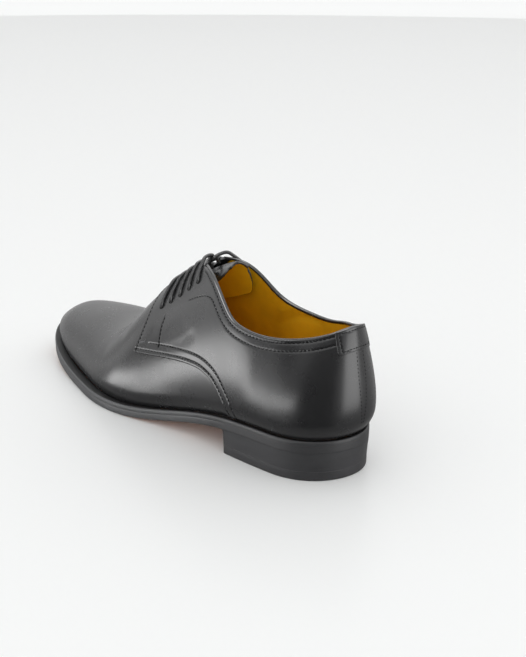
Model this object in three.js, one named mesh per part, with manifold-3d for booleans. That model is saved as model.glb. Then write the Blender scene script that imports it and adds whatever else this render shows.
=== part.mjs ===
// Left dress shoe: a plain-toe derby in millimetres.
// +Y points to the toe, +X to the inner side of the foot, +Z up. The floor is z = 0.
// A station runs along the shoe from 0 at the back of the sole to 1 at the tip of the toe.

import * as THREE from 'three';
import { mergeVertices } from 'three/addons/utils/BufferGeometryUtils.js';
import Module from 'manifold-3d';

// Driving sizes of the last and the sole
const soleLength = 303;
const ballHalfWidth = 54.6;
const heelHeight = 18.4;
const toeSpring = 13.1;
const instepHeight = 91;
const backHeight = 68.7;
const heelBulge = 3.2;
const heelBulgeHeight = 22;
const featherTuck = 3;
const featherTuckHeight = 12;
const instepShift = 2.2;
const heelSwing = 6.1;

// Sizes of the pieces
const wall = 1.8;
const quarterStep = 1.2;
const heelTabStep = 0.9;
const heelTabWidth = 29;
const heelTabHeight = 15;
const heelTabTaper = 0.84;
const outsoleThickness = 4.6;
const weltThickness = 3.1;
const weltMargin = 3.9;
const weltInset = 0.4;
const featherSeat = 0.7;
const insoleThickness = 2.6;
const heelLength = 74;
const heelTaper = 0.9;
const topPieceThickness = 6;
const throatGap = 13;
const tongueThickness = 2;
const tongueDrop = 1.2;
const eyeletDiameter = 3.4;
const eyeletPairs = 5;
const laceDiameter = 2.4;
const laceDip = 3.8;
const laceSag = 1.8;
const clearance = 0.3;

// Stations where the sole bends and the outline rounds off
const shankBack = 0.126;
const ballBack = 0.602;
const ballFront = 0.71;
const heelRound = 0.124;
const toeRound = 0.48;
const heelRoundPower = 2.3;
const toeRoundPower = 2.4;
const springPower = 2.1;
const swingEnd = 0.4;

// Stations that the spine of the sections keeps clear of at the heel and the toe
const spineBack = 0.05;
const spineFront = 0.87;
const spineBackFrom = 0.3;
const spineFrontFrom = 0.5;

// Facing, throat and eyelet row, as stations and as angles up the section
const throatBack = 0.3;
const throatEnd = 0.525;
const quarterFront = 0.56;
const eyeletRow = { first: 0.475, last: 0.373, firstAngle: 0.862, lastAngle: 0.937 };
const laceRow = { first: 0.512, last: 0.424 };
const laceClimb = [0, 0.35, 0.7];
const laceBack = { top: 0.15, dip: 0.3 };
const tongueSpan = { back: 0.337, bend: 0.5, front: 0.53 };
const tongueHalf = { narrow: 14, wide: 14.5, end: 7 };
const tongueRound = 0.2;
const tongueFallRate = 0.24;
const tongueLean = 0.026;

// Mesh resolution and searches
const columns = 56;
const upperRows = 9;
const tabRows = 4;
const tabSpans = 6;
const tongueRows = 6;
const tongueSpans = 14;
const soleStations = 34;
const holeSides = 10;
const laceSides = 8;
const laceSteps = 9;
const rimScan = 90;
const lowestRim = 10;
const halvings = 22;
const nearRidge = Math.PI / 2 - 0.02;
const footAngle = 0.01;
const tongueFoot = 0.3;
const backing = 0.75 * wall;

// Plan of the last, a row for each station. Lateral and medial are shares of ballHalfWidth,
// margin of weltMargin and bulge of heelBulge.
const plans = [
  { at: 0.00, lateral: 0.620, medial: 0.560, margin: 0.13, bulge: 1.25 },
  { at: 0.08, lateral: 0.635, medial: 0.590, margin: 0.13, bulge: 0.60 },
  { at: 0.16, lateral: 0.660, medial: 0.600, margin: 0.13, bulge: 0.88 },
  { at: 0.25, lateral: 0.675, medial: 0.565, margin: 0.08, bulge: 0.69 },
  { at: 0.35, lateral: 0.690, medial: 0.530, margin: 0.00, bulge: 0.47 },
  { at: 0.45, lateral: 0.805, medial: 0.560, margin: 0.15, bulge: 0.31 },
  { at: 0.50, lateral: 0.885, medial: 0.615, margin: 0.31, bulge: 0.22 },
  { at: 0.55, lateral: 0.950, medial: 0.700, margin: 0.51, bulge: 0.16 },
  { at: 0.60, lateral: 0.983, medial: 0.805, margin: 0.72, bulge: 0.09 },
  { at: 0.65, lateral: 0.980, medial: 0.910, margin: 0.87, bulge: 0.03 },
  { at: 0.71, lateral: 0.942, medial: 0.985, margin: 0.95, bulge: 0.00 },
  { at: 0.78, lateral: 0.905, medial: 1.000, margin: 1.00, bulge: 0.00 },
  { at: 0.85, lateral: 0.890, medial: 0.965, margin: 0.92, bulge: 0.00 },
  { at: 0.93, lateral: 0.875, medial: 0.913, margin: 0.67, bulge: 0.00 },
  { at: 1.00, lateral: 0.838, medial: 0.867, margin: 0.36, bulge: 0.00 },
];

// Sections of the last. Ridge is a share of instepHeight above the feather line and drift of
// instepShift. Full and crown are the powers that round the side wall and the top.
const sections = [
  { at: 0.00, ridge: 0.970, drift: 4.20, full: 1.90, crown: 2.00 },
  { at: 0.08, ridge: 1.020, drift: 2.70, full: 1.30, crown: 2.00 },
  { at: 0.16, ridge: 1.270, drift: 1.45, full: 1.88, crown: 2.00 },
  { at: 0.25, ridge: 1.250, drift: 1.10, full: 1.95, crown: 2.00 },
  { at: 0.35, ridge: 1.165, drift: 0.90, full: 1.85, crown: 2.00 },
  { at: 0.45, ridge: 1.000, drift: 0.60, full: 1.70, crown: 2.00 },
  { at: 0.50, ridge: 0.907, drift: 0.45, full: 1.68, crown: 2.05 },
  { at: 0.55, ridge: 0.787, drift: 0.50, full: 1.72, crown: 2.10 },
  { at: 0.60, ridge: 0.608, drift: 0.65, full: 1.85, crown: 2.20 },
  { at: 0.65, ridge: 0.468, drift: 0.80, full: 2.00, crown: 2.30 },
  { at: 0.71, ridge: 0.413, drift: 0.95, full: 2.08, crown: 2.36 },
  { at: 0.78, ridge: 0.400, drift: 1.00, full: 2.10, crown: 2.40 },
  { at: 0.85, ridge: 0.360, drift: 0.95, full: 2.15, crown: 2.40 },
  { at: 0.93, ridge: 0.270, drift: 0.90, full: 2.20, crown: 2.40 },
  { at: 1.00, ridge: 0.112, drift: 0.90, full: 2.20, crown: 2.40 },
];

// Top line of the collar: height above the seat of the heel, as a share of backHeight
const collarLine = [
  { at: 0.00, lateral: 1.020, medial: 1.020 },
  { at: 0.06, lateral: 0.900, medial: 0.893 },
  { at: 0.11, lateral: 0.858, medial: 0.833 },
  { at: 0.16, lateral: 0.857, medial: 0.780 },
  { at: 0.20, lateral: 0.874, medial: 0.785 },
  { at: 0.24, lateral: 0.925, medial: 0.815 },
  { at: 0.27, lateral: 1.015, medial: 0.855 },
  { at: 0.30, lateral: 1.108, medial: 0.935 },
  { at: 0.33, lateral: 1.175, medial: 1.065 },
  { at: 0.36, lateral: 1.207, medial: 1.165 },
  { at: 0.40, lateral: 1.205, medial: 1.200 },
  { at: 0.45, lateral: 1.190, medial: 1.190 },
];

// Front edge and lower seam of a quarter seen from the side: station, and height above the
// flat of the ball as a share of instepHeight
const quarterEdge = [
  { at: 0.300, height: 1.60 },
  { at: 0.500, height: 1.20 },
  { at: 0.530, height: 0.86 },
  { at: 0.522, height: 0.77 },
  { at: 0.513, height: 0.68 },
  { at: 0.510, height: 0.57 },
  { at: 0.514, height: 0.43 },
  { at: 0.475, height: 0.445 },
  { at: 0.437, height: 0.46 },
  { at: 0.400, height: 0.474 },
  { at: 0.360, height: 0.486 },
  { at: 0.334, height: 0.489 },
  { at: 0.310, height: 0.485 },
  { at: 0.287, height: 0.466 },
  { at: 0.270, height: 0.440 },
  { at: 0.254, height: 0.392 },
  { at: 0.239, height: 0.329 },
  { at: 0.231, height: 0.283 },
  { at: 0.228, height: 0.237 },
  { at: 0.224, height: -0.20 },
  { at: -0.100, height: -0.20 },
  { at: -0.100, height: 1.60 },
];

const feather = outsoleThickness + weltThickness;
const seat = heelHeight + feather;

// Natural cubic spline through the rows of a table
function spline(rows, column) {
  const x = rows.map((row) => row.at);
  const y = rows.map((row) => row[column]);
  const n = x.length;
  const bend = new Array(n).fill(0);
  const upper = new Array(n).fill(0);
  for (let i = 1; i < n - 1; i++) {
    const before = x[i] - x[i - 1];
    const after = x[i + 1] - x[i];
    const pivot = 2 * (before + after) - before * upper[i - 1];
    const slope = (y[i + 1] - y[i]) / after - (y[i] - y[i - 1]) / before;
    upper[i] = after / pivot;
    bend[i] = (6 * slope - before * bend[i - 1]) / pivot;
  }
  for (let i = n - 2; i > 0; i--) bend[i] -= upper[i] * bend[i + 1];
  return (value) => {
    const at = Math.min(Math.max(value, x[0]), x[n - 1]);
    let i = 0;
    while (i < n - 2 && at > x[i + 1]) i++;
    const width = x[i + 1] - x[i];
    const a = (x[i + 1] - at) / width;
    const b = 1 - a;
    const curve = ((a ** 3 - a) * bend[i] + (b ** 3 - b) * bend[i + 1]) * width ** 2 / 6;
    return a * y[i] + b * y[i + 1] + curve;
  };
}

const last = {};
for (const column of ['lateral', 'medial', 'margin', 'bulge']) last[column] = spline(plans, column);
for (const column of ['ridge', 'drift', 'full', 'crown']) last[column] = spline(sections, column);
const collar = { lateral: spline(collarLine, 'lateral'), medial: spline(collarLine, 'medial') };

const clamp = (value) => Math.min(Math.max(value, 0), 1);
const smooth = (t) => t ** 3 * (10 - 15 * t + 6 * t * t);
const alongY = (station) => (station - 0.5) * soleLength;
const stationAt = (y) => y / soleLength + 0.5;
const stationOf = (turn) => (1 - Math.cos(turn)) / 2;
const turnOf = (station) => Math.acos(1 - 2 * station);
const isLateral = (turn) => Math.sin(turn) >= 0;

// Underside of the outsole above the floor
function underside(station) {
  const arch = smooth(clamp((ballBack - station) / (ballBack - shankBack)));
  const spring = clamp((station - ballFront) / (1 - ballFront)) ** springPower;
  return heelHeight * arch + toeSpring * spring;
}

// Plan of the sole's edge. Turn runs from the back of the heel round the outer side to the toe
// at PI and home along the inner side.
function soleEdge(turn) {
  const station = stationOf(turn);
  const back = 1 - (1 - clamp(station / heelRound)) ** heelRoundPower;
  const front = 1 - (1 - clamp((1 - station) / toeRound)) ** toeRoundPower;
  const side = isLateral(turn) ? -last.lateral(station) : last.medial(station);
  const swing = heelSwing * clamp(1 - station / swingEnd) ** 2;
  const x = side * ballHalfWidth * Math.sqrt(back * front) + swing;
  return new THREE.Vector2(x, alongY(station));
}

function edgeNormal(turn) {
  const step = 0.002;
  const along = soleEdge(turn + step).sub(soleEdge(turn - step)).normalize();
  return new THREE.Vector2(-along.y, along.x);
}

function insetEdge(turn, inset) {
  return soleEdge(turn).addScaledVector(edgeNormal(turn), -inset);
}

function ridgeHeight(y) {
  const station = stationAt(y);
  return underside(station) + feather + last.ridge(station) * instepHeight;
}

const ridgeX = (y) => last.drift(stationAt(y)) * instepShift;

// A point of the last's surface. Angle climbs the section from the feather line at 0 to the
// ridge at PI / 2, and out is the distance outside the surface.
function lastPoint(turn, angle, out, drop = () => 0) {
  const station = stationOf(turn);
  const back = clamp((spineBackFrom - station) / spineBackFrom) ** 3;
  const front = clamp((station - spineFrontFrom) / (1 - spineFrontFrom)) ** 3;
  const along = alongY(station + spineBack * back - (1 - spineFront) * front);
  const spine = new THREE.Vector2(ridgeX(along), along);
  const normal = edgeNormal(turn);
  const foot = insetEdge(turn, last.margin(station) * weltMargin - out);
  const spread = Math.max(Math.cos(angle), 0) ** (2 / last.full(station));
  const lift = Math.sin(angle) ** (2 / last.crown(station));
  const plan = spine.clone().lerp(foot, spread);
  const base = underside(station) + feather;
  const height = (ridgeHeight(plan.y) - drop(plan.y) + out - base) * lift;
  const tuck = featherTuck * clamp(1 - height / featherTuckHeight) ** 2;
  const share = height / heelBulgeHeight;
  const bulge = last.bulge(station) * heelBulge * share * Math.exp(1 - share);
  plan.addScaledVector(normal, (bulge - tuck) * spread);
  return new THREE.Vector3(plan.x, plan.y, base + height);
}

// Half of the throat's opening between the facings, with a round end at the vamp
function halfThroat(y) {
  const half = throatGap / 2;
  const into = (alongY(throatEnd) - y) / half;
  return into <= 0 ? 0 : half * Math.sqrt(1 - (1 - clamp(into)) ** 2);
}

// Whether a point of the last is open air at the collar or the throat
function isOpen(point, lateral, lower) {
  const station = stationAt(point.y);
  const line = lateral ? collar.lateral : collar.medial;
  const top = seat + line(station) * backHeight - lower;
  const overCollar = station < collarLine.at(-1).at && point.z > top;
  const reach = halfThroat(point.y) + (point.y < alongY(throatEnd) ? lower : 0);
  const inThroat = station > throatBack && Math.abs(point.x - ridgeX(point.y)) < reach;
  return overCollar || inThroat;
}

// Value between low and high from which a test holds
function bisect(low, high, holds) {
  let [from, to] = [low, high];
  for (let i = 0; i < halvings; i++) {
    const middle = (from + to) / 2;
    if (holds(middle)) to = middle;
    else from = middle;
  }
  return to;
}

// Angle where a section meets the collar or the throat, or the ridge where it meets neither
function rimAngle(turn, out, lower = 0) {
  const lateral = isLateral(turn);
  const open = (angle) => isOpen(lastPoint(turn, angle, out), lateral, lower);
  const step = Math.PI / 2 / rimScan;
  for (let i = lowestRim; i <= rimScan; i++) {
    if (!open(i * step)) continue;
    const edge = bisect((i - 1) * step, i * step, open);
    return edge < nearRidge ? edge : Math.PI / 2;
  }
  return Math.PI / 2;
}

// Geometry from rows of triangles' corner points
function geometryOf(corners) {
  const geometry = new THREE.BufferGeometry();
  const values = corners.flatMap((point) => [point.x, point.y, point.z]);
  geometry.setAttribute('position', new THREE.Float32BufferAttribute(values, 3));
  return geometry;
}

function quad(corners, a, b, c, d) {
  corners.push(a, b, c, a, c, d);
}

// Solids of the boolean library
function toSolid(geometry) {
  const bare = geometry.clone();
  bare.deleteAttribute('normal');
  bare.deleteAttribute('uv');
  const merged = mergeVertices(bare, 1e-4);
  const vertProperties = new Float32Array(merged.attributes.position.array);
  const kept = [];
  const index = merged.index.array;
  for (let i = 0; i < index.length; i += 3) {
    const [a, b, c] = [index[i], index[i + 1], index[i + 2]];
    if (a !== b && b !== c && a !== c) kept.push(a, b, c);
  }
  const mesh = new wasm.Mesh({ numProp: 3, vertProperties, triVerts: new Uint32Array(kept) });
  return new wasm.Manifold(mesh);
}

function fromSolid(solid) {
  const mesh = solid.getMesh();
  const geometry = new THREE.BufferGeometry();
  const position = new THREE.BufferAttribute(new Float32Array(mesh.vertProperties), 3);
  geometry.setAttribute('position', position);
  geometry.setIndex(new THREE.BufferAttribute(new Uint32Array(mesh.triVerts), 1));
  geometry.computeVertexNormals();
  return geometry;
}

// Closed shell between an outer and an inner grid of points. The grids are arrays of columns.
// A ring of columns closes on itself, and a strip is closed by a wall at each end.
function shell(outer, inner, isRing) {
  const corners = [];
  const count = outer.length;
  const rows = outer[0].length - 1;
  const spans = isRing ? count : count - 1;
  for (let i = 0; i < spans; i++) {
    const next = (i + 1) % count;
    for (let j = 0; j < rows; j++) {
      quad(corners, outer[next][j], outer[i][j], outer[i][j + 1], outer[next][j + 1]);
      quad(corners, inner[i][j], inner[next][j], inner[next][j + 1], inner[i][j + 1]);
    }
    quad(corners, outer[i][0], outer[next][0], inner[next][0], inner[i][0]);
    const closed = isRing && isFolded(i) && isFolded(next);
    if (!closed) quad(corners, outer[next][rows], outer[i][rows], inner[i][rows], inner[next][rows]);
  }
  if (!isRing) {
    const end = count - 1;
    for (let j = 0; j < rows; j++) {
      quad(corners, outer[0][j], inner[0][j], inner[0][j + 1], outer[0][j + 1]);
      quad(corners, inner[end][j], outer[end][j], outer[end][j + 1], inner[end][j + 1]);
    }
  }
  return geometryOf(corners);
}

const ringTurns = Array.from({ length: 2 * columns }, (_, i) => (i * Math.PI) / columns);
const outerRims = ringTurns.map((turn) => rimAngle(turn, 0));
const isFolded = (i) => outerRims[i] === Math.PI / 2;

// Columns of points over the last, from a low angle to a high one
function grid(turns, rows, out, lowOf, highOf) {
  return turns.map((turn, i) => {
    const low = lowOf(turn, i);
    const high = highOf(turn, i);
    const points = [];
    for (let j = 0; j <= rows; j++) {
      points.push(lastPoint(turn, low + ((high - low) * j) / rows, out));
    }
    return points;
  });
}

// Extruded outline seen from the side, as station and height, through the whole width
function sidePrism(rows) {
  const shape = new THREE.Shape(rows.map((row) => {
    const height = row.height * instepHeight + feather;
    return new THREE.Vector2(alongY(row.at), height);
  }));
  const geometry = new THREE.ExtrudeGeometry(shape, { depth: 4 * ballHalfWidth, bevelEnabled: false });
  geometry.translate(0, 0, -2 * ballHalfWidth);
  const axes = [new THREE.Vector3(0, 1, 0), new THREE.Vector3(0, 0, 1), new THREE.Vector3(1, 0, 0)];
  return geometry.applyMatrix4(new THREE.Matrix4().makeBasis(...axes));
}

// Eyelets, as a turn and an angle on each facing
function eyelet(pair, side) {
  const share = pair / (eyeletPairs - 1);
  const station = THREE.MathUtils.lerp(eyeletRow.first, eyeletRow.last, share);
  const angle = THREE.MathUtils.lerp(eyeletRow.firstAngle, eyeletRow.lastAngle, share);
  return { turn: side * turnOf(station), angle };
}

function holeThrough({ turn, angle }) {
  const inside = lastPoint(turn, angle, -3 * wall);
  const outside = lastPoint(turn, angle, 3 * wall);
  const axis = outside.clone().sub(inside);
  const hole = new THREE.CylinderGeometry(eyeletDiameter / 2, eyeletDiameter / 2, axis.length(), holeSides);
  const up = new THREE.Vector3(0, 1, 0);
  hole.applyQuaternion(new THREE.Quaternion().setFromUnitVectors(up, axis.clone().normalize()));
  hole.translate(...inside.add(outside).multiplyScalar(0.5).toArray());
  return toSolid(hole);
}

// Upper: the vamp's shell with the quarters and the heel tab as steps in its wall
function makeUpper() {
  const toRim = (out) => (turn, i) => (isFolded(i) ? Math.PI / 2 : rimAngle(turn, out));
  const outer = grid(ringTurns, upperRows, 0, () => 0, toRim(0));
  const inner = grid(ringTurns, upperRows, -wall, () => 0, toRim(-wall));
  let solid = toSolid(shell(outer, inner, true));

  const reach = Math.ceil((turnOf(quarterFront) / Math.PI) * columns);
  const quarterTurns = Array.from({ length: 2 * reach + 1 }, (_, i) => ((i - reach) * Math.PI) / columns);
  const below = quarterStep / 2;
  const layer = (out) => {
    const high = (turn) => Math.min(rimAngle(turn, out, below), nearRidge);
    return grid(quarterTurns, upperRows, out, () => footAngle, high);
  };
  const quarters = shell(layer(quarterStep), layer(-backing), false);
  solid = solid.add(toSolid(quarters).intersect(toSolid(sidePrism(quarterEdge))));
  solid = solid.add(toSolid(makeHeelTab()));
  for (let pair = 0; pair < eyeletPairs; pair++) {
    for (const side of [1, -1]) solid = solid.subtract(holeThrough(eyelet(pair, side)));
  }
  return fromSolid(solid);
}

// Patch over the back seam at the top of the collar, narrower at its foot
function makeHeelTab() {
  const out = quarterStep + heelTabStep;
  const collarPoint = (turn) => lastPoint(turn, rimAngle(turn, out, quarterStep), out);
  const middle = collarPoint(0);
  const isWide = (turn) => collarPoint(turn).distanceTo(middle) > heelTabWidth / 2;
  const reach = bisect(0, turnOf(heelRound), isWide);
  const leaf = (share, level) => {
    const points = [];
    for (let j = 0; j <= tabRows; j++) {
      const rise = j / tabRows;
      const turn = share * reach * THREE.MathUtils.lerp(heelTabTaper, 1, rise);
      const low = rimAngle(turn, level, heelTabHeight);
      const high = rimAngle(turn, level, quarterStep);
      points.push(lastPoint(turn, THREE.MathUtils.lerp(low, high, rise), level));
    }
    return points;
  };
  const shares = Array.from({ length: 2 * tabSpans + 1 }, (_, i) => i / tabSpans - 1);
  const outer = shares.map((share) => leaf(share, out));
  return shell(outer, shares.map((share) => leaf(share, quarterStep / 2)), false);
}

// Layer of the sole between two heights over the underside, with its edge set in at each
function soleLayer(from, to, low, high) {
  const turns = [];
  for (let i = 0; i <= soleStations; i++) {
    turns.push(turnOf(from) + ((turnOf(to) - turnOf(from)) * i) / soleStations);
  }
  const ring = (turn, level) => {
    const z = level.floor ?? underside(stationOf(turn)) + level.above;
    const lateral = insetEdge(turn, level.inset);
    const medial = insetEdge(-turn, level.inset);
    return [new THREE.Vector3(lateral.x, lateral.y, z), new THREE.Vector3(medial.x, medial.y, z)];
  };
  const bottom = turns.map((turn) => ring(turn, low));
  const top = turns.map((turn) => ring(turn, high));
  const corners = [];
  for (let i = 0; i < soleStations; i++) {
    const next = i + 1;
    quad(corners, top[i][0], top[i][1], top[next][1], top[next][0]);
    quad(corners, bottom[i][1], bottom[i][0], bottom[next][0], bottom[next][1]);
    quad(corners, bottom[i][0], top[i][0], top[next][0], bottom[next][0]);
    quad(corners, top[i][1], bottom[i][1], bottom[next][1], top[next][1]);
  }
  const end = soleStations;
  quad(corners, bottom[0][0], bottom[0][1], top[0][1], top[0][0]);
  quad(corners, bottom[end][1], bottom[end][0], top[end][0], top[end][1]);
  return geometryOf(corners);
}

function levels(above, thickness, inset) {
  return [{ above, inset }, { above: above + thickness, inset }];
}

// Everything behind the straight breast of the heel
function heelBlock(low, high) {
  const whole = toSolid(soleLayer(0, 2 * heelLength / soleLength, low, high));
  const breast = alongY(0) + heelLength;
  const size = 4 * ballHalfWidth;
  const behind = new THREE.BoxGeometry(size, size, size);
  behind.translate(0, breast - size / 2, 0);
  return fromSolid(whole.intersect(toSolid(behind)));
}

function makeHeelStack() {
  const seam = { floor: topPieceThickness + clearance, inset: heelTaper };
  return heelBlock(seam, { above: -clearance, inset: weltInset });
}

function makeTopPiece() {
  return heelBlock({ floor: 0, inset: heelTaper }, { floor: topPieceThickness, inset: heelTaper });
}

const innerInset = (station) => last.margin(station) * weltMargin + featherTuck + wall;

// Layer that follows the inner line of the upper's foot instead of the sole's edge
function innerLayer(above, thickness, gap) {
  const corners = [];
  const at = (i, side, height) => {
    const turn = (side * i * Math.PI) / soleStations;
    const station = stationOf(turn);
    const plan = insetEdge(turn, innerInset(station) + gap);
    return new THREE.Vector3(plan.x, plan.y, underside(station) + height);
  };
  const top = above + thickness;
  for (let i = 0; i < soleStations; i++) {
    const next = i + 1;
    quad(corners, at(i, 1, top), at(i, -1, top), at(next, -1, top), at(next, 1, top));
    quad(corners, at(i, -1, above), at(i, 1, above), at(next, 1, above), at(next, -1, above));
    quad(corners, at(i, 1, above), at(i, 1, top), at(next, 1, top), at(next, 1, above));
    quad(corners, at(i, -1, top), at(i, -1, above), at(next, -1, above), at(next, -1, top));
  }
  return geometryOf(corners);
}

function makeWelt() {
  const above = outsoleThickness + clearance;
  const thickness = weltThickness - 2 * clearance;
  const strip = toSolid(soleLayer(0, 1, ...levels(above, thickness, weltInset)));
  return fromSolid(strip.subtract(toSolid(innerLayer(above - 1, thickness + 2, featherSeat))));
}

function makeInsole() {
  return innerLayer(outsoleThickness + clearance, insoleThickness, featherSeat + clearance);
}

// The tongue sinks below the rise of the ridge towards its free end
function tongueFall(y) {
  return tongueFallRate * Math.max(0, alongY(tongueSpan.bend) - y);
}

// Angle at which a section of the tongue lies a given distance to the side of the ridge
function angleAtReach(turn, reach, out) {
  const isInside = (angle) => {
    const point = lastPoint(turn, angle, out, tongueFall);
    return Math.abs(point.x - ridgeX(point.y)) <= reach;
  };
  return bisect(tongueFoot, Math.PI / 2, isInside);
}

// Leaf under the facings
function makeTongue() {
  const share = (i) => i / tongueSpans;
  const leaf = (i, out) => {
    const station = THREE.MathUtils.lerp(tongueSpan.back, tongueSpan.front, share(i));
    const round = Math.sqrt(1 - (1 - clamp(share(i) / tongueRound)) ** 2);
    const full = THREE.MathUtils.lerp(tongueHalf.wide, tongueHalf.narrow, share(i));
    const half = Math.max(full * round, tongueHalf.end);
    const points = [];
    for (let j = -tongueRows; j <= tongueRows; j++) {
      const reach = half * Math.abs(j) / tongueRows;
      const turn = turnOf(station - tongueLean * (1 - share(i)) * (reach / tongueHalf.wide) ** 2);
      const side = j <= 0 ? turn : -turn;
      const angle = angleAtReach(side, reach, out);
      points.push(lastPoint(side, angle, out, tongueFall));
    }
    return points;
  };
  const rows = Array.from({ length: tongueSpans + 1 }, (_, i) => i);
  const under = -wall - tongueDrop;
  const inner = rows.map((i) => leaf(i, under - tongueThickness));
  return shell(rows.map((i) => leaf(i, under)), inner, false);
}

// A strand leaves its eyelet, climbs the facing, crosses the throat and dips at the far facing
function strand(pair, side) {
  const { turn, angle } = eyelet(pair, side);
  const radius = laceDiameter / 2;
  const over = quarterStep + radius + 2 * clearance;
  const under = radius - wall - tongueDrop + 2 * clearance;
  const share = pair / (eyeletPairs - 1);
  const crestStation = THREE.MathUtils.lerp(laceRow.first, laceRow.last, share);
  const pitch = (laceRow.first - laceRow.last) / (eyeletPairs - 1);
  const climb = (rise) => {
    const station = THREE.MathUtils.lerp(stationOf(turn), crestStation, rise);
    const high = THREE.MathUtils.lerp(angle, Math.PI / 2, rise);
    return lastPoint(side * turnOf(station), high, over);
  };
  const crest = (back, reach, height) => {
    const y = alongY(crestStation - pitch * back);
    return new THREE.Vector3(ridgeX(y) + side * reach, y, ridgeHeight(y) + height);
  };
  const points = [...laceClimb.map(climb)];
  points.push(crest(laceBack.top, 0, radius + clearance - laceSag));
  points.push(crest(laceBack.dip, laceDip, under));
  const path = new THREE.CatmullRomCurve3(points, false, 'centripetal');
  const shape = new THREE.Shape();
  for (let i = 0; i < laceSides; i++) {
    const around = (i / laceSides) * 2 * Math.PI;
    const corner = new THREE.Vector2(Math.cos(around), Math.sin(around)).multiplyScalar(radius);
    if (i === 0) shape.moveTo(corner.x, corner.y);
    else shape.lineTo(corner.x, corner.y);
  }
  shape.closePath();
  return toSolid(new THREE.ExtrudeGeometry(shape, { steps: laceSteps, extrudePath: path }));
}

function makeCrossing(pair) {
  return fromSolid(strand(pair, 1).add(strand(pair, -1)));
}

const wasm = await Module();
wasm.setup();

const leather = { color: 0x2b2c30, roughness: 0.32, metalness: 0 };
const sole = { color: 0x3a3b3f, roughness: 0.55, metalness: 0 };
const finish = {
  upper: leather,
  tongue: { color: 0xa8761c, roughness: 0.6, metalness: 0 },
  insole: { color: 0x9c6c1a, roughness: 0.65, metalness: 0 },
  welt: { color: 0x18181a, roughness: 0.5, metalness: 0 },
  outsole: sole,
  heel_stack: sole,
  heel_top_piece: { color: 0x1c1c1e, roughness: 0.75, metalness: 0 },
  lace: { color: 0x121214, roughness: 0.6, metalness: 0 },
};

const shoe = new THREE.Group();
shoe.name = 'left_derby_shoe';

function addPiece(name, geometry, look) {
  const piece = new THREE.Mesh(geometry, new THREE.MeshStandardMaterial(look));
  piece.name = name;
  shoe.add(piece);
}

addPiece('upper', makeUpper(), finish.upper);
addPiece('tongue', makeTongue(), finish.tongue);
addPiece('insole', makeInsole(), finish.insole);
addPiece('welt', makeWelt(), finish.welt);
addPiece('outsole', soleLayer(0, 1, ...levels(0, outsoleThickness, 0)), finish.outsole);
addPiece('heel_stack', makeHeelStack(), finish.heel_stack);
addPiece('heel_top_piece', makeTopPiece(), finish.heel_top_piece);
for (let pair = 0; pair < eyeletPairs; pair++) {
  addPiece(`lace_crossing_${pair + 1}`, makeCrossing(pair), finish.lace);
}

// The origin lies on the floor at the middle of the shoe's box
const box = new THREE.Box3().setFromObject(shoe);
const middle = box.getCenter(new THREE.Vector3());
shoe.position.set(-middle.x, -middle.y, 0);

export default shoe;
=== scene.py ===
# Left derby shoe in polished black calf with a tan lining, dressed over its solids.
# Lengths are millimetres in the last's own frame until a mesh is made in metres.

import math

import bpy
import numpy as np
from mathutils import Matrix, Vector
from mathutils.geometry import delaunay_2d_cdt
from mathutils.kdtree import KDTree


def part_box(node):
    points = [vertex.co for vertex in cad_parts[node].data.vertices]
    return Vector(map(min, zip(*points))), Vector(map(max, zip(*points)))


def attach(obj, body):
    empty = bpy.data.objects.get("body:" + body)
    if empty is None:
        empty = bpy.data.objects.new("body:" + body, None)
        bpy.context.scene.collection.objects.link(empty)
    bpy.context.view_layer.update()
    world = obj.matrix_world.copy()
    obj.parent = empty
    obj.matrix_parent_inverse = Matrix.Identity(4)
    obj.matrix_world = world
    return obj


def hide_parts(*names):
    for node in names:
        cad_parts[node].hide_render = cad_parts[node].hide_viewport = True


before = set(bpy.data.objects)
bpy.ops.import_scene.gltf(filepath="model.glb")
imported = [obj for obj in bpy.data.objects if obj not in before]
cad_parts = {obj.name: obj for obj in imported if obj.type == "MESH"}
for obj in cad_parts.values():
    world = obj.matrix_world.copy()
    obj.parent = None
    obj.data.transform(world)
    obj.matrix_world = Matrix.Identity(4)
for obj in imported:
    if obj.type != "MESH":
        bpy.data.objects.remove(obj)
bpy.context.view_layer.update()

MM = 0.001
RIDGE = math.pi / 2

# Driving sizes of the last and the sole
SOLE_LENGTH = 303
BALL_HALF_WIDTH = 54.6
HEEL_HEIGHT = 18.4
TOE_SPRING = 13.1
INSTEP_HEIGHT = 91
BACK_HEIGHT = 68.7
HEEL_BULGE = 3.2
HEEL_BULGE_HEIGHT = 22
FEATHER_TUCK = 3
FEATHER_TUCK_HEIGHT = 12
INSTEP_SHIFT = 2.2
HEEL_SWING = 6.1

# Sizes of the pieces
WALL = 1.8
QUARTER_STEP = 1.2
HEEL_TAB_STEP = 0.9
HEEL_TAB_WIDTH = 29
HEEL_TAB_HEIGHT = 15
HEEL_TAB_TAPER = 0.84
OUTSOLE_THICKNESS = 4.6
WELT_THICKNESS = 3.1
WELT_MARGIN = 3.9
INSOLE_TOP = 7.5
HEEL_LENGTH = 74
HEEL_TAPER = 0.9
TOP_PIECE_THICKNESS = 6
THROAT_GAP = 13
TONGUE_THICKNESS = 2
TONGUE_DROP = 1.2
EYELET_RADIUS = 1.5
EYELET_PAIRS = 5
LACE_RADIUS = 1.15

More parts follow.
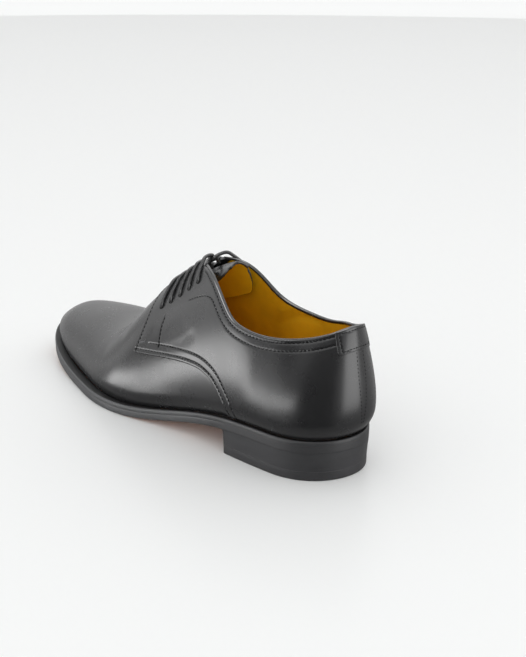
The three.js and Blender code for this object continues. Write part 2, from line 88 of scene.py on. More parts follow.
# Stations along the shoe, from 0 at the back of the sole to 1 at the tip of the toe
SHANK_BACK = 0.126
BALL_BACK = 0.602
BALL_FRONT = 0.71
HEEL_ROUND = 0.124
TOE_ROUND = 0.48
SWING_END = 0.4
SPINE_BACK = 0.05
SPINE_FRONT = 0.87
SPINE_BACK_FROM = 0.3
SPINE_FRONT_FROM = 0.5
THROAT_BACK = 0.3
THROAT_END = 0.525
EYELET_STATIONS = (0.475, 0.373)
EYELET_ANGLES = (0.862, 0.937)
LACE_STATIONS = (0.512, 0.424)
TONGUE_STATIONS = (0.337, 0.53)
TONGUE_BEND = 0.5
TONGUE_HALVES = (14.5, 14)
TONGUE_END = 7
TONGUE_ROUND = 0.2
TONGUE_FALL_RATE = 0.24
TONGUE_LEAN = 0.026

# Plan of the last: station, lateral, medial, margin and bulge
PLANS = (
    (0.00, 0.620, 0.560, 0.13, 1.25),
    (0.08, 0.635, 0.590, 0.13, 0.60),
    (0.16, 0.660, 0.600, 0.13, 0.88),
    (0.25, 0.675, 0.565, 0.08, 0.69),
    (0.35, 0.690, 0.530, 0.00, 0.47),
    (0.45, 0.805, 0.560, 0.15, 0.31),
    (0.50, 0.885, 0.615, 0.31, 0.22),
    (0.55, 0.950, 0.700, 0.51, 0.16),
    (0.60, 0.983, 0.805, 0.72, 0.09),
    (0.65, 0.980, 0.910, 0.87, 0.03),
    (0.71, 0.942, 0.985, 0.95, 0.00),
    (0.78, 0.905, 1.000, 1.00, 0.00),
    (0.85, 0.890, 0.965, 0.92, 0.00),
    (0.93, 0.875, 0.913, 0.67, 0.00),
    (1.00, 0.838, 0.867, 0.36, 0.00),
)

# Sections of the last: station, ridge, drift, full and crown
SECTIONS = (
    (0.00, 0.970, 4.20, 1.90, 2.00),
    (0.08, 1.020, 2.70, 1.30, 2.00),
    (0.16, 1.270, 1.45, 1.88, 2.00),
    (0.25, 1.250, 1.10, 1.95, 2.00),
    (0.35, 1.165, 0.90, 1.85, 2.00),
    (0.45, 1.000, 0.60, 1.70, 2.00),
    (0.50, 0.907, 0.45, 1.68, 2.05),
    (0.55, 0.787, 0.50, 1.72, 2.10),
    (0.60, 0.608, 0.65, 1.85, 2.20),
    (0.65, 0.468, 0.80, 2.00, 2.30),
    (0.71, 0.413, 0.95, 2.08, 2.36),
    (0.78, 0.400, 1.00, 2.10, 2.40),
    (0.85, 0.360, 0.95, 2.15, 2.40),
    (0.93, 0.270, 0.90, 2.20, 2.40),
    (1.00, 0.112, 0.90, 2.20, 2.40),
)

# Top line of the collar: station, lateral and medial height above the seat
COLLAR_LINE = (
    (0.00, 1.020, 1.020),
    (0.06, 0.900, 0.893),
    (0.11, 0.858, 0.833),
    (0.16, 0.857, 0.780),
    (0.20, 0.874, 0.785),
    (0.24, 0.925, 0.815),
    (0.27, 1.015, 0.855),
    (0.30, 1.108, 0.935),
    (0.33, 1.175, 1.065),
    (0.36, 1.207, 1.165),
    (0.40, 1.205, 1.200),
    (0.45, 1.190, 1.190),
)

# Front edge and lower seam of a quarter seen from the side: station and share of the instep's height
QUARTER_FRONT = ((0.514, 0.430), (0.510, 0.570), (0.513, 0.680), (0.522, 0.770))
QUARTER_SEAM = (
    (0.514, 0.430),
    (0.475, 0.445),
    (0.437, 0.460),
    (0.400, 0.474),
    (0.360, 0.486),
    (0.334, 0.489),
    (0.310, 0.485),
    (0.287, 0.466),
    (0.270, 0.440),
    (0.254, 0.392),
    (0.239, 0.329),
    (0.231, 0.283),
    (0.228, 0.237),
    (0.227, 0.200),
)

# Rolled edge of the quarters, last station of their rim, and top of their front edge
ROLL = 1.0
RIM_END_STATION = 0.5235
FRONT_TOP = (0.527, 1.49)

# Seams of the facing: station and angle up the section
FACING_LINE = ((0.448, 0.730), (0.449, 0.640), (0.446, 0.550), (0.443, 0.470))
ARC_END = ((0.330, 0.768), (0.345, 0.777), (0.362, 0.782), (0.384, 0.786))

# Soft creases of the vamp where the foot bends it, and of the quarters: line, depth and width
VAMP_CREASES = (
    (((0.585, 0.75), (0.600, 1.05), (0.606, 1.35)), 0.28, 4.5),
    (((0.640, 0.62), (0.650, 0.95), (0.655, 1.30)), 0.22, 5.0),
)
QUARTER_CREASES = (
    (((0.468, 0.62), (0.430, 0.58), (0.385, 0.60)), 0.22, 4.0),
    (((0.440, 0.50), (0.400, 0.46), (0.350, 0.50)), 0.2, 4.0),
    (((0.215, 0.80), (0.180, 0.66), (0.165, 0.50)), 0.18, 5.0),
)
# Soft wrinkles of the lining on the inner side: line, depth and width
LINING_WRINKLES = (
    (((0.16, 0.60), (0.20, 0.63), (0.25, 0.61)), 0.5, 2.2),
    (((0.15, 0.52), (0.20, 0.55), (0.27, 0.52)), -0.4, 2.2),
    (((0.17, 0.44), (0.22, 0.47), (0.28, 0.43)), 0.5, 2.6),
    (((0.24, 0.74), (0.27, 0.70), (0.29, 0.62)), 0.35, 1.8),
)

# Stitches: pitch, length, radius and lift over the leather
QUARTER_STITCH = (2.6, 1.9, 0.26, -0.16)
TAB_STITCH = (2.0, 1.4, 0.22, -0.12)
BACK_STITCH = (2.2, 1.5, 0.22, -0.1)
TACK_STITCH = (1.4, 1.3, 0.26, 0.0)
STITCH_SIDES = 7

# Resolution round the shoe and up it
VAMP_GRID = (520, 64)
LINING_GRID = (420, 44)
SOLE_SPANS = 480
UNDERSIDE_SPANS = 24
RIM_SPANS = 260

# Channel of the hidden stitching under the sole
CHANNEL_INSET = 4.5
CHANNEL_WIDTH = 0.7
CHANNEL_DEPTH = 0.35

# Camera: image, lens and place, with its target in the last's own frame
IMAGE_HEIGHT = 657
SENSOR_HEIGHT = 36
FOCAL_PIXELS = 1044.6
CAMERA_AZIMUTH = -42.343
CAMERA_ELEVATION = 20.4
CAMERA_ROLL = 0.272
CAMERA_DISTANCE = 727.3
CAMERA_TARGET = (49.05, -21.24, 46.63)

FEATHER = OUTSOLE_THICKNESS + WELT_THICKNESS
SEAT = HEEL_HEIGHT + FEATHER


def spline(rows, column):
    """Natural cubic spline through one column of a table, over its first column."""
    at = np.array([row[0] for row in rows], float)
    values = np.array([row[column] for row in rows], float)
    width = np.diff(at)
    slope = np.diff(values) / width
    matrix = np.eye(len(at))
    right = np.zeros(len(at))
    for i in range(1, len(at) - 1):
        matrix[i, i - 1 : i + 2] = width[i - 1], 2 * (width[i - 1] + width[i]), width[i]
        right[i] = 6 * (slope[i] - slope[i - 1])
    bend = np.linalg.solve(matrix, right)

    def value(x):
        x = np.clip(x, at[0], at[-1])
        i = np.clip(np.searchsorted(at, x) - 1, 0, len(at) - 2)
        a = (at[i + 1] - x) / width[i]
        b = 1 - a
        curve = ((a**3 - a) * bend[i] + (b**3 - b) * bend[i + 1]) * width[i] ** 2 / 6
        return a * values[i] + b * values[i + 1] + curve

    return value


lateral_share, medial_share, margin_share, bulge_share = (spline(PLANS, i) for i in (1, 2, 3, 4))
ridge_share, drift_share, full_power, crown_power = (spline(SECTIONS, i) for i in (1, 2, 3, 4))
lateral_collar, medial_collar = (spline(COLLAR_LINE, i) for i in (1, 2))


def share(value):
    return np.clip(value, 0, 1)


def along(station):
    return (station - 0.5) * SOLE_LENGTH


def station_at(y):
    return y / SOLE_LENGTH + 0.5


def station_of(turn):
    return (1 - np.cos(turn)) / 2


def turn_of(station):
    return np.arccos(1 - 2 * np.asarray(station, float))


def underside(station):
    """Height of the outsole's underside above the floor."""
    t = share((BALL_BACK - station) / (BALL_BACK - SHANK_BACK))
    arch = t**3 * (10 - 15 * t + 6 * t * t)
    spring = share((station - BALL_FRONT) / (1 - BALL_FRONT)) ** 2.1
    return HEEL_HEIGHT * arch + TOE_SPRING * spring


def sole_edge(turn):
    """Plan of the sole's edge, from the back of the heel round the outer side to the toe at pi."""
    station = station_of(turn)
    back = 1 - (1 - share(station / HEEL_ROUND)) ** 2.3
    front = 1 - (1 - share((1 - station) / TOE_ROUND)) ** 2.4
    side = np.where(np.sin(turn) >= 0, -lateral_share(station), medial_share(station))
    swing = HEEL_SWING * share(1 - station / SWING_END) ** 2
    x = side * BALL_HALF_WIDTH * np.sqrt(back * front) + swing
    return np.stack([x, along(station)], -1)


def edge_normal(turn):
    step = 0.002
    tangent = sole_edge(turn + step) - sole_edge(turn - step)
    tangent = tangent / np.linalg.norm(tangent, axis=-1, keepdims=True)
    return np.stack([-tangent[..., 1], tangent[..., 0]], -1)


def inset_edge(turn, inset):
    return sole_edge(turn) - edge_normal(turn) * np.asarray(inset, float)[..., None]


def ridge_height(y):
    station = station_at(y)
    return underside(station) + FEATHER + ridge_share(station) * INSTEP_HEIGHT


def ridge_x(y):
    return drift_share(station_at(y)) * INSTEP_SHIFT


def last_point(turn, angle, out=0.0, drop=None):
    """Point of the last's surface, where angle climbs from the feather line at 0 to the ridge."""
    turn, angle, out = np.broadcast_arrays(turn, angle, out)
    turn = np.where(angle > RIDGE, -turn, turn)
    angle = np.clip(np.where(angle > RIDGE, math.pi - angle, angle), 0, RIDGE)
    station = station_of(turn)
    back = share((SPINE_BACK_FROM - station) / SPINE_BACK_FROM) ** 3
    front = share((station - SPINE_FRONT_FROM) / (1 - SPINE_FRONT_FROM)) ** 3
    spine_y = along(station + SPINE_BACK * back - (1 - SPINE_FRONT) * front)
    spine = np.stack([ridge_x(spine_y), spine_y], -1)
    foot = inset_edge(turn, margin_share(station) * WELT_MARGIN - out)
    spread = np.maximum(np.cos(angle), 0) ** (2 / full_power(station))
    lift = np.sin(angle) ** (2 / crown_power(station))
    plan = spine + (foot - spine) * spread[..., None]
    base = underside(station) + FEATHER
    fall = drop(plan[..., 1]) if drop else 0
    height = (ridge_height(plan[..., 1]) - fall + out - base) * lift
    tuck = FEATHER_TUCK * share(1 - height / FEATHER_TUCK_HEIGHT) ** 2
    level = height / HEEL_BULGE_HEIGHT
    bulge = bulge_share(station) * HEEL_BULGE * level * np.exp(1 - level)
    plan = plan + edge_normal(turn) * ((bulge - tuck) * spread)[..., None]
    return np.concatenate([plan, (base + height)[..., None]], -1)


def unit(vectors):
    return vectors / np.maximum(np.linalg.norm(vectors, axis=-1, keepdims=True), 1e-12)


def last_normal(turn, angle, out=0.0, drop=None):
    step = 0.004
    across = last_point(turn + step, angle, out, drop) - last_point(turn - step, angle, out, drop)
    up = last_point(turn, angle + step, out, drop) - last_point(turn, angle - step, out, drop)
    return unit(np.cross(up, across))


def half_throat(y):
    half = THROAT_GAP / 2
    into = (along(THROAT_END) - y) / half
    return np.where(into <= 0, 0, half * np.sqrt(1 - (1 - share(into)) ** 2))


def is_open(point, is_lateral, lower):
    """Whether a point of the last is open air at the collar or the throat."""
    station = station_at(point[..., 1])
    line = np.where(is_lateral, lateral_collar(station), medial_collar(station))
    over_collar = (station < COLLAR_LINE[-1][0]) & (point[..., 2] > SEAT + line * BACK_HEIGHT - lower)
    reach = half_throat(point[..., 1]) + np.where(point[..., 1] < along(THROAT_END), lower, 0)
    in_throat = (station > THROAT_BACK) & (np.abs(point[..., 0] - ridge_x(point[..., 1])) < reach)
    return over_collar | in_throat


def rim_angle(turn, out=0.0, lower=0.0):
    """Angle where a section meets the collar or the throat, or the ridge where it meets neither."""
    turn = np.atleast_1d(np.asarray(turn, float))
    steps = np.linspace(0, RIDGE, 91)[10:]
    is_lateral = np.sin(turn) >= 0
    scan = is_open(last_point(turn[None, :], steps[:, None], out), is_lateral, lower)
    first = np.argmax(scan, axis=0)
    high = steps[first]
    low = high - (steps[1] - steps[0])
    for _ in range(20):
        middle = (low + high) / 2
        now = is_open(last_point(turn, middle, out), is_lateral, lower)
        high = np.where(now, middle, high)
        low = np.where(now, low, middle)
    return np.where(scan.any(0) & (high < RIDGE - 0.02), high, RIDGE)


# Flat chart of the surface, close to millimetres: the feather line's length and the angle
CHART_TURNS = np.linspace(-math.pi, 2 * math.pi, 3001)
CHART_STEPS = np.linalg.norm(np.diff(sole_edge(CHART_TURNS), axis=0), axis=1)
CHART_LENGTHS = np.concatenate([[0], np.cumsum(CHART_STEPS)])
CHART_LENGTHS -= np.interp(0, CHART_TURNS, CHART_LENGTHS)
CHART_HEIGHT = 62


def to_chart(places):
    places = np.asarray(places, float)
    length = np.interp(places[..., 0], CHART_TURNS, CHART_LENGTHS)
    return np.stack([length, places[..., 1] * CHART_HEIGHT], -1)


def from_chart(points):
    turn = np.interp(points[..., 0], CHART_LENGTHS, CHART_TURNS)
    return np.stack([turn, points[..., 1] / CHART_HEIGHT], -1)


def settle(points, places, out, axes=(0, 1, 2)):
    """Places (turn, angle) whose points of the surface lie nearest to the given points."""
    places = np.array(places, float)
    axes = list(axes)
    step = 0.003
    for _ in range(14):
        turn, angle = places[:, 0], places[:, 1]
        miss = (points - last_point(turn, angle, out))[:, axes]
        across = (last_point(turn + step, angle, out) - last_point(turn - step, angle, out))[:, axes]
        up = (last_point(turn, angle + step, out) - last_point(turn, angle - step, out))[:, axes]
        across, up = across / (2 * step), up / (2 * step)
        a, b, c = (across**2).sum(1), (across * up).sum(1), (up**2).sum(1)
        g, h = (across * miss).sum(1), (up * miss).sum(1)
        area = np.maximum(a * c - b * b, 1e-6)
        places[:, 0] += np.clip((c * g - b * h) / area, -0.08, 0.08)
        places[:, 1] = np.clip(places[:, 1] + np.clip((a * h - b * g) / area, -0.08, 0.08), 0.01, 1.56)
    return places


def resample(points, step, closed=False):
    points = np.asarray(points, float)
    if closed:
        points = np.concatenate([points, points[:1]])
    length = np.concatenate([[0], np.cumsum(np.linalg.norm(np.diff(points, axis=0), axis=1))])
    count = max(int(round(length[-1] / step)), 2)
    at = np.linspace(0, length[-1], count + 1)
    columns = [np.interp(at, length, points[:, i]) for i in range(points.shape[1])]
    made = np.stack(columns, -1)
    return made[:-1] if closed else made


def rounded(points, step, reach):
    """A closed outline with its corners rounded by a moving average."""
    points = resample(points, step, closed=True)
    count = max(int(reach / step), 1)
    total = np.zeros_like(points)
    weight = 0
    for i in range(-count, count + 1):
        w = math.cos(math.pi / 2 * i / (count + 1)) ** 2
        total += w * np.roll(points, i, axis=0)
        weight += w
    return total / weight


def smooth_curve(points, step):
    """A smooth open curve through chosen points."""
    points = np.asarray(points, float)
    length = np.concatenate([[0], np.cumsum(np.linalg.norm(np.diff(points, axis=0), axis=1))])
    at = np.linspace(0, length[-1], max(int(length[-1] / step), 8))
    rows = [(length[i], *points[i]) for i in range(len(points))]
    return np.stack([spline(rows, i + 1)(at) for i in range(points.shape[1])], -1)


# Shift from the last's own frame to the shared frame, from the outsole's corner
OUTLINE = sole_edge(np.linspace(0, 2 * math.pi, 2001))
outsole_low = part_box("outsole")[0]
SHIFT = np.array([outsole_low.x / MM - OUTLINE[:, 0].min(), outsole_low.y / MM - OUTLINE[:, 1].min(), 0])


def make_mesh(name, points, faces, materials, slot, nodes=(), normals=None, uvs=None, tones=None):
    """A smooth mesh piece from points in millimetres, which rides on the shoe."""
    mesh = bpy.data.meshes.new(name)
    mesh.from_pydata(((np.asarray(points) + SHIFT) * MM).tolist(), [], [list(map(int, f)) for f in faces])
    for material in materials:
        mesh.materials.append(material)
    mesh.polygons.foreach_set("use_smooth", [True] * len(mesh.polygons))
    if uvs is not None:
        layer = mesh.uv_layers.new(name="UVMap")
        corners = np.empty(len(mesh.loops), int)
        mesh.loops.foreach_get("vertex_index", corners)
        layer.data.foreach_set("uv", np.asarray(uvs, float)[corners].ravel())
    # Tone holds painted shade on the upper's pieces, and the heel's own darker tone on the sole's edge.
    if tones is not None:
        tone = mesh.attributes.new("tone", "FLOAT", "POINT")
        tone.data.foreach_set("value", np.asarray(tones, float))
    mesh.update()
    if normals is not None:
        mesh.normals_split_custom_set_from_vertices(np.asarray(normals, float).tolist())
    piece = bpy.data.objects.new(name, mesh)
    bpy.context.scene.collection.objects.link(piece)
    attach(piece, "root")
    if nodes:
        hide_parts(*nodes)
    return piece


def grid_faces(rows, columns, closed=False, start=0, flip=False):
    """Quads between rows of points that are stored one row after another."""
    faces = []
    spans = columns if closed else columns - 1
    for i in range(rows - 1):
        for j in range(spans):
            k = (j + 1) % columns
            a, b = start + i * columns, start + (i + 1) * columns
            face = (a + j, a + k, b + k, b + j)
            faces.append(face[::-1] if flip else face)
    return faces


def use_second(piece, first, end):
    """Give the faces from first up to end the piece's second material."""
    for polygon in piece.data.polygons[first:end]:
        polygon.material_index = 1


def make_tree(points):
    """Search tree over points, where points of the chart lie at height zero."""
    tree = KDTree(len(points))
    for i, point in enumerate(points):
        tree.insert((*point, 0)[:3], i)
    tree.balance()
    return tree


def clear_of(points, others, gap):
    """Points of the chart that keep a gap to all the others."""
    tree = make_tree(others)
    return points[[tree.find((*point, 0))[2] > gap for point in points]]


class Mark:
    """A line pressed into the leather, or raised where its depth is negative, with painted shade along it
    as strong as dark.
    """

    def __init__(self, points, depth, width, dark=0.0):
        self.depth, self.width, self.dark = depth, width, dark
        self.tree = make_tree(np.asarray(points, float))


def pressed(points, normals, marks):
    """Points and normals of a surface after its marks, and the painted shade that darkens each point along
    them.
    """
    offset = np.zeros(len(points))
    slope = np.zeros_like(points)
    tone = np.zeros(len(points))
    for mark in marks:
        reach = 3 * mark.width
        for i, point in enumerate(points):
            near, _, gap = mark.tree.find(point.tolist())
            if gap > reach:
                continue
            dip = -mark.depth * math.exp(-((gap / mark.width) ** 2))
            offset[i] += dip
            slope[i] += dip * -2 / mark.width**2 * (point - np.array(near))
            # Painted shade along the mark, strongest at its middle.
            tone[i] = max(tone[i], mark.dark * math.exp(-((gap / mark.width) ** 2)))
    slope -= normals * (slope * normals).sum(-1, keepdims=True)
    return points + normals * offset[:, None], unit(normals - slope), tone


def inside(points, outline):
    """Which points of the chart lie inside a closed outline."""
    result = np.zeros(len(points), bool)
    x, y = points[:, 0], points[:, 1]
    for (x1, y1), (x2, y2) in zip(outline, np.roll(outline, -1, axis=0)):
        if y1 == y2:
            continue
        crosses = (y1 > y) != (y2 > y)
        result ^= crosses & (x < (x2 - x1) * (y - y1) / (y2 - y1) + x1)
    return result


def is_clockwise(ring):
    after = np.roll(ring, -1, axis=0)
    return (ring[:, 0] * after[:, 1] - after[:, 0] * ring[:, 1]).sum() < 0


def make_patch(name, outline, out, roll, depth, marks, step=1.5, lines=(), holes=()):
    """A leather piece on the last: outline in chart millimetres, edges rolled over and down."""
    ring = resample(outline, min(step, 1.1), closed=True)
    low, high = ring.min(0), ring.max(0)
    xs, ys = np.arange(low[0], high[0], step), np.arange(low[1], high[1], step)
    cells = np.stack(np.meshgrid(xs, ys), -1).reshape(-1, 2)
    cells[:, 0] += np.where((np.round((cells[:, 1] - low[1]) / step) % 2) == 1, step / 2, 0)
    extra = []
    for line, spacing, offsets in lines:
        line = resample(line, spacing)
        side = np.gradient(line, axis=0)
        side = unit(np.stack([-side[:, 1], side[:, 0]], -1))
        for offset in offsets:
            extra.append(line + side * offset)
    for hole, radius in holes:
        turns = np.linspace(0, 2 * math.pi, 20, endpoint=False)
        circle = np.stack([np.cos(turns), np.sin(turns)], -1)
        for share_of in (1.0, 1.35, 1.8):
            extra.append(hole + circle * radius * share_of)
    guides = ring
    if extra:
        more = np.concatenate(extra)
        guides = np.concatenate([ring, clear_of(more[inside(more, ring)], ring, 0.4)])
    cells = clear_of(cells[inside(cells, ring)], guides, 0.62 * step)
    flat = np.concatenate([guides, cells])
    edges = [(i, (i + 1) % len(ring)) for i in range(len(ring))]
    made = delaunay_2d_cdt([Vector(point) for point in flat.tolist()], edges, [], 0, 1e-5, True)
    flat = np.array([tuple(point) for point in made[0]])
    faces = np.array([f for f in made[2] if len(f) == 3])
    centres = flat[faces].mean(1)
    keep = inside(centres, ring)
    for hole, radius in holes:
        keep &= np.linalg.norm(centres - hole, axis=1) > radius
    faces = faces[keep]
    places = from_chart(flat)
    points = last_point(places[:, 0], places[:, 1], out)
    normals = last_normal(places[:, 0], places[:, 1], out)
    points, normals, tone = pressed(points, normals, marks)
    corner = points[faces]
    turned = np.cross(corner[:, 1] - corner[:, 0], corner[:, 2] - corner[:, 0])
    flip = (turned * normals[faces[:, 0]]).sum(-1) < 0
    faces[flip] = faces[flip][:, ::-1]

    find = {}
    for new, olds in enumerate(made[3]):
        for old in olds:
            find[old] = new
    index = np.array([find[i] for i in range(len(ring))])
    rim, rim_normals = points[index], normals[index]
    tangent = unit(np.roll(rim, -1, axis=0) - np.roll(rim, 1, axis=0))
    outward = unit(np.cross(tangent, rim_normals))
    aside = unit(np.roll(ring, -1, axis=0) - np.roll(ring, 1, axis=0))[:, ::-1] * (1, -1)
    if is_clockwise(ring):
        aside = -aside
    beyond = from_chart(ring + aside * 0.5)
    step_out = last_point(beyond[:, 0], beyond[:, 1], out) - rim
    outward *= np.where((step_out * outward).sum(-1, keepdims=True) < 0, -1, 1)
    rings, ring_normals = [], []
    for turn in np.radians([25, 50, 72, 90]):
        rings.append(rim + outward * roll * math.sin(turn) - rim_normals * roll * (1 - math.cos(turn)))
        ring_normals.append(rim_normals * math.cos(turn) + outward * math.sin(turn))
    rings.append(rings[-1] - rim_normals * (depth - roll))
    ring_normals.append(outward)
    count = len(ring)
    start = len(points)
    points = np.concatenate([points, *rings])
    normals = np.concatenate([normals, *ring_normals])
    # The rolled edges take a little painted shade.
    tone = np.concatenate([tone, np.full(count * len(rings), 0.25)])
    walls = []
    rows = [index] + [start + count * i + np.arange(count) for i in range(len(rings))]
    for upper, lower in zip(rows, rows[1:]):
        for j in range(count):
            k = (j + 1) % count
            walls.append((upper[j], lower[j], lower[k], upper[k]))
    sample = walls[0]
    corner = points[list(sample)]
    turned = np.cross(corner[1] - corner[0], corner[2] - corner[0])
    if (turned * (normals[sample[0]] + normals[sample[1]])).sum() < 0:
        walls = [wall[::-1] for wall in walls]
    add_calf(name, points, list(faces) + walls, normals=normals, tones=tone)


def sweep(name, path, radius, material, slot, nodes, sides=12):
    """A round strand along a path, with a uv map that runs along it."""
    path = np.asarray(path, float)
    tangent = unit(np.gradient(path, axis=0))
    up = np.zeros_like(path)
    up[0] = unit(np.cross(tangent[0], (0.3, 0.1, 1.0)))
    for i in range(1, len(path)):
        up[i] = unit(up[i - 1] - tangent[i] * (up[i - 1] @ tangent[i]))
    side = np.cross(tangent, up)
    turns = np.linspace(0, 2 * math.pi, sides, endpoint=False)
    ring = np.cos(turns)[None, :, None] * up[:, None] + np.sin(turns)[None, :, None] * side[:, None]
    points = (path[:, None] + ring * radius).reshape(-1, 3)
    length = np.concatenate([[0], np.cumsum(np.linalg.norm(np.diff(path, axis=0), axis=1))])
    around = turns / (2 * math.pi)
    uvs = np.stack(np.broadcast_arrays(length[:, None], around[None, :]), -1).reshape(-1, 2)
    faces = grid_faces(len(path), sides, closed=True)
    last = (len(path) - 1) * sides
    faces += [tuple(range(sides))[::-1], tuple(range(last, last + sides))]
    make_mesh(name, points, faces, [material], slot, nodes, uvs=uvs)


def interpolated(at, run, rows):
    return np.array([np.interp(at, run, rows[:, k]) for k in range(3)])


def stitch_row(path, normals, pitch, length, radius, lift):
    """Points and faces of small thread capsules laid along a line."""
    path = np.asarray(path, float)
    run = np.concatenate([[0], np.cumsum(np.linalg.norm(np.diff(path, axis=0), axis=1))])
    count = int(run[-1] / pitch)
    rings = ((-0.5, 0.35, -0.5), (-0.4, 0.8, -0.1), (-0.15, 1, 0.25))
    rings += tuple((-place, size, rise) for place, size, rise in rings[::-1])
    turns = np.linspace(0, 2 * math.pi, STITCH_SIDES, endpoint=False)
    points, faces = [], []
    for i in range(count):
        at = (i + 0.5) * run[-1] / count
        before, centre, after = (interpolated(at + shift, run, path) for shift in (-0.3, 0, 0.3))
        normal = unit(interpolated(at, run, normals))
        ahead = after - before
        ahead = unit(ahead - normal * (ahead @ normal))
        across = np.cross(normal, ahead)
        start = len(points)
        for place, size, rise in rings:
            middle = centre + ahead * place * length + normal * (lift + rise * radius)
            for turn in turns:
                points.append(middle + (across * math.cos(turn) + normal * math.sin(turn)) * radius * size)
        faces += grid_faces(len(rings), STITCH_SIDES, closed=True, start=start)
        faces.append(tuple(range(start, start + STITCH_SIDES))[::-1])
        end = start + STITCH_SIDES * (len(rings) - 1)
        faces.append(tuple(range(end, end + STITCH_SIDES)))
    return points, faces


def add_calf(name, points, faces, material=None, **more):
    """A piece of the upper, in black calf where no other material is given."""
    make_mesh(name, points, faces, [material or BLACK], "black_calf", ("upper",), **more)


def add_rows(name, rows, material):
    """One piece of the upper from rows of small parts."""
    points, faces = [], []
    for row_points, row_faces in rows:
        faces += [tuple(k + len(points) for k in face) for face in row_faces]
        points += row_points
    add_calf(name, points, faces, material)


# Materials
def new_material(name):
    material = bpy.data.materials.new(name)
    material.use_nodes = True
    nodes = material.node_tree.nodes
    return material, nodes, material.node_tree.links, nodes["Principled BSDF"]


def add_node(nodes, kind, **values):
    node = nodes.new(kind)
    for key, value in values.items():
        if key in node.inputs:
            node.inputs[key].default_value = value
        else:
            setattr(node, key, value)
    return node


def add_noise(nodes, links, vector, scale, detail, rough):
    noise = add_node(nodes, "ShaderNodeTexNoise", Scale=scale, Detail=detail, Roughness=rough)
    links.new(vector, noise.inputs["Vector"])
    return noise.outputs["Fac"]


def mix_colors(nodes, links, factor, first, second):
    """Mix of two colours, of which the first may be another node's output."""
    mix = nodes.new("ShaderNodeMix")
    mix.data_type = "RGBA"
    links.new(factor, mix.inputs[0])
    if isinstance(first, tuple):
        mix.inputs[6].default_value = (*first, 1)
    else:
        links.new(first, mix.inputs[6])
    mix.inputs[7].default_value = (*second, 1)
    return mix.outputs[2]


def add_painted_shade_and_tone(nodes, links, base, dark):
    """Colour darkened where the mesh's tone says so: painted shade on the upper, and the heel's own darker
    tone on the sole's edge.
    """
    tone = add_node(nodes, "ShaderNodeAttribute", attribute_name="tone")
    return mix_colors(nodes, links, tone.outputs["Fac"], base, dark)


def add_bump(nodes, links, shader, height, strength, distance):
    bump = add_node(nodes, "ShaderNodeBump", Strength=strength, Distance=distance)
    links.new(height, bump.inputs["Height"])
    links.new(bump.outputs["Normal"], shader.inputs["Normal"])


def spread_value(nodes, links, value, low, high):
    ramp = add_node(nodes, "ShaderNodeMapRange")
    ramp.inputs["From Min"].default_value = 0.3
    ramp.inputs["From Max"].default_value = 0.7
    ramp.inputs["To Min"].default_value = low
    ramp.inputs["To Max"].default_value = high
    links.new(value, ramp.inputs["Value"])
    return ramp.outputs["Result"]


def calf(name, dark, light, rough, coat, coat_rough, pores=0.05, cell=0.5):
    """Calf leather: soft colour cloud, painted shade from the mesh's tone, fine pores, and a coat of
    polish.
    """
    material, nodes, links, shader = new_material(name)
    place = nodes.new("ShaderNodeTexCoord").outputs["Object"]
    cloud = add_noise(nodes, links, place, 22, 3, 0.55)
    base = mix_colors(nodes, links, spread_value(nodes, links, cloud, 0, 1), dark, light)
    # Darkest colour of the painted shade along pressed lines and rolled edges.
    painted_shade_color = tuple(0.35 * c for c in dark)
    links.new(add_painted_shade_and_tone(nodes, links, base, painted_shade_color), shader.inputs["Base Color"])
    smear = add_noise(nodes, links, place, 60, 5, 0.55)
    links.new(spread_value(nodes, links, smear, rough * 0.88, rough * 1.12), shader.inputs["Roughness"])
    cells = add_node(nodes, "ShaderNodeTexVoronoi", Scale=1 / (cell * MM))
    links.new(place, cells.inputs["Vector"])
    height = add_node(nodes, "ShaderNodeMath", operation="ADD")
    links.new(cells.outputs["Distance"], height.inputs[0])
    links.new(add_noise(nodes, links, place, 0.6 / (cell * MM), 3, 0.55), height.inputs[1])
    add_bump(nodes, links, shader, height.outputs[0], pores, 0.0002)
    shader.inputs["Coat Weight"].default_value = coat
    shader.inputs["Coat Roughness"].default_value = coat_rough
    return material


def plain_leather(name, dark, light, rough, bump, scale, stretch=(1, 1, 1), coat=0.0, toned=None):
    """Lining, sock or edge leather with streaks along one direction."""
    material, nodes, links, shader = new_material(name)
    coords = nodes.new("ShaderNodeTexCoord")
    turned = add_node(nodes, "ShaderNodeMapping")
    turned.inputs["Scale"].default_value = stretch
    links.new(coords.outputs["Object"], turned.inputs["Vector"])
    place = turned.outputs["Vector"]
    cloud = add_noise(nodes, links, place, scale, 5, 0.6)
    base = mix_colors(nodes, links, spread_value(nodes, links, cloud, 0, 1), dark, light)
    if toned:
        base = add_painted_shade_and_tone(nodes, links, base, toned)
    links.new(base, shader.inputs["Base Color"])
    links.new(spread_value(nodes, links, cloud, rough * 0.9, rough * 1.1), shader.inputs["Roughness"])
    add_bump(nodes, links, shader, add_noise(nodes, links, place, scale * 14, 4, 0.6), bump, 0.0003)
    shader.inputs["Coat Weight"].default_value = coat
    shader.inputs["Coat Roughness"].default_value = 0.25
    return material


def thread_material(name, color, rough, ribs, gloss):
    """Waxed thread or lace with a braid along its uv map, in ribs for each millimetre."""
    material, nodes, links, shader = new_material(name)
    coords = nodes.new("ShaderNodeTexCoord")
    turned = add_node(nodes, "ShaderNodeMapping")
    turned.inputs["Scale"].default_value = (ribs, 4, 1)
    turned.inputs["Rotation"].default_value = (0, 0, 0.7)
    links.new(coords.outputs["UV"], turned.inputs["Vector"])
    wave = add_node(nodes, "ShaderNodeTexWave", Scale=1.0, Distortion=0.0)
    links.new(turned.outputs["Vector"], wave.inputs["Vector"])
    add_bump(nodes, links, shader, wave.outputs["Fac"], 0.5, 0.0002)
    base = mix_colors(nodes, links, wave.outputs["Fac"], tuple(0.6 * c for c in color), color)
    links.new(base, shader.inputs["Base Color"])
    shader.inputs["Roughness"].default_value = rough
    shader.inputs["Specular IOR Level"].default_value = gloss
    return material


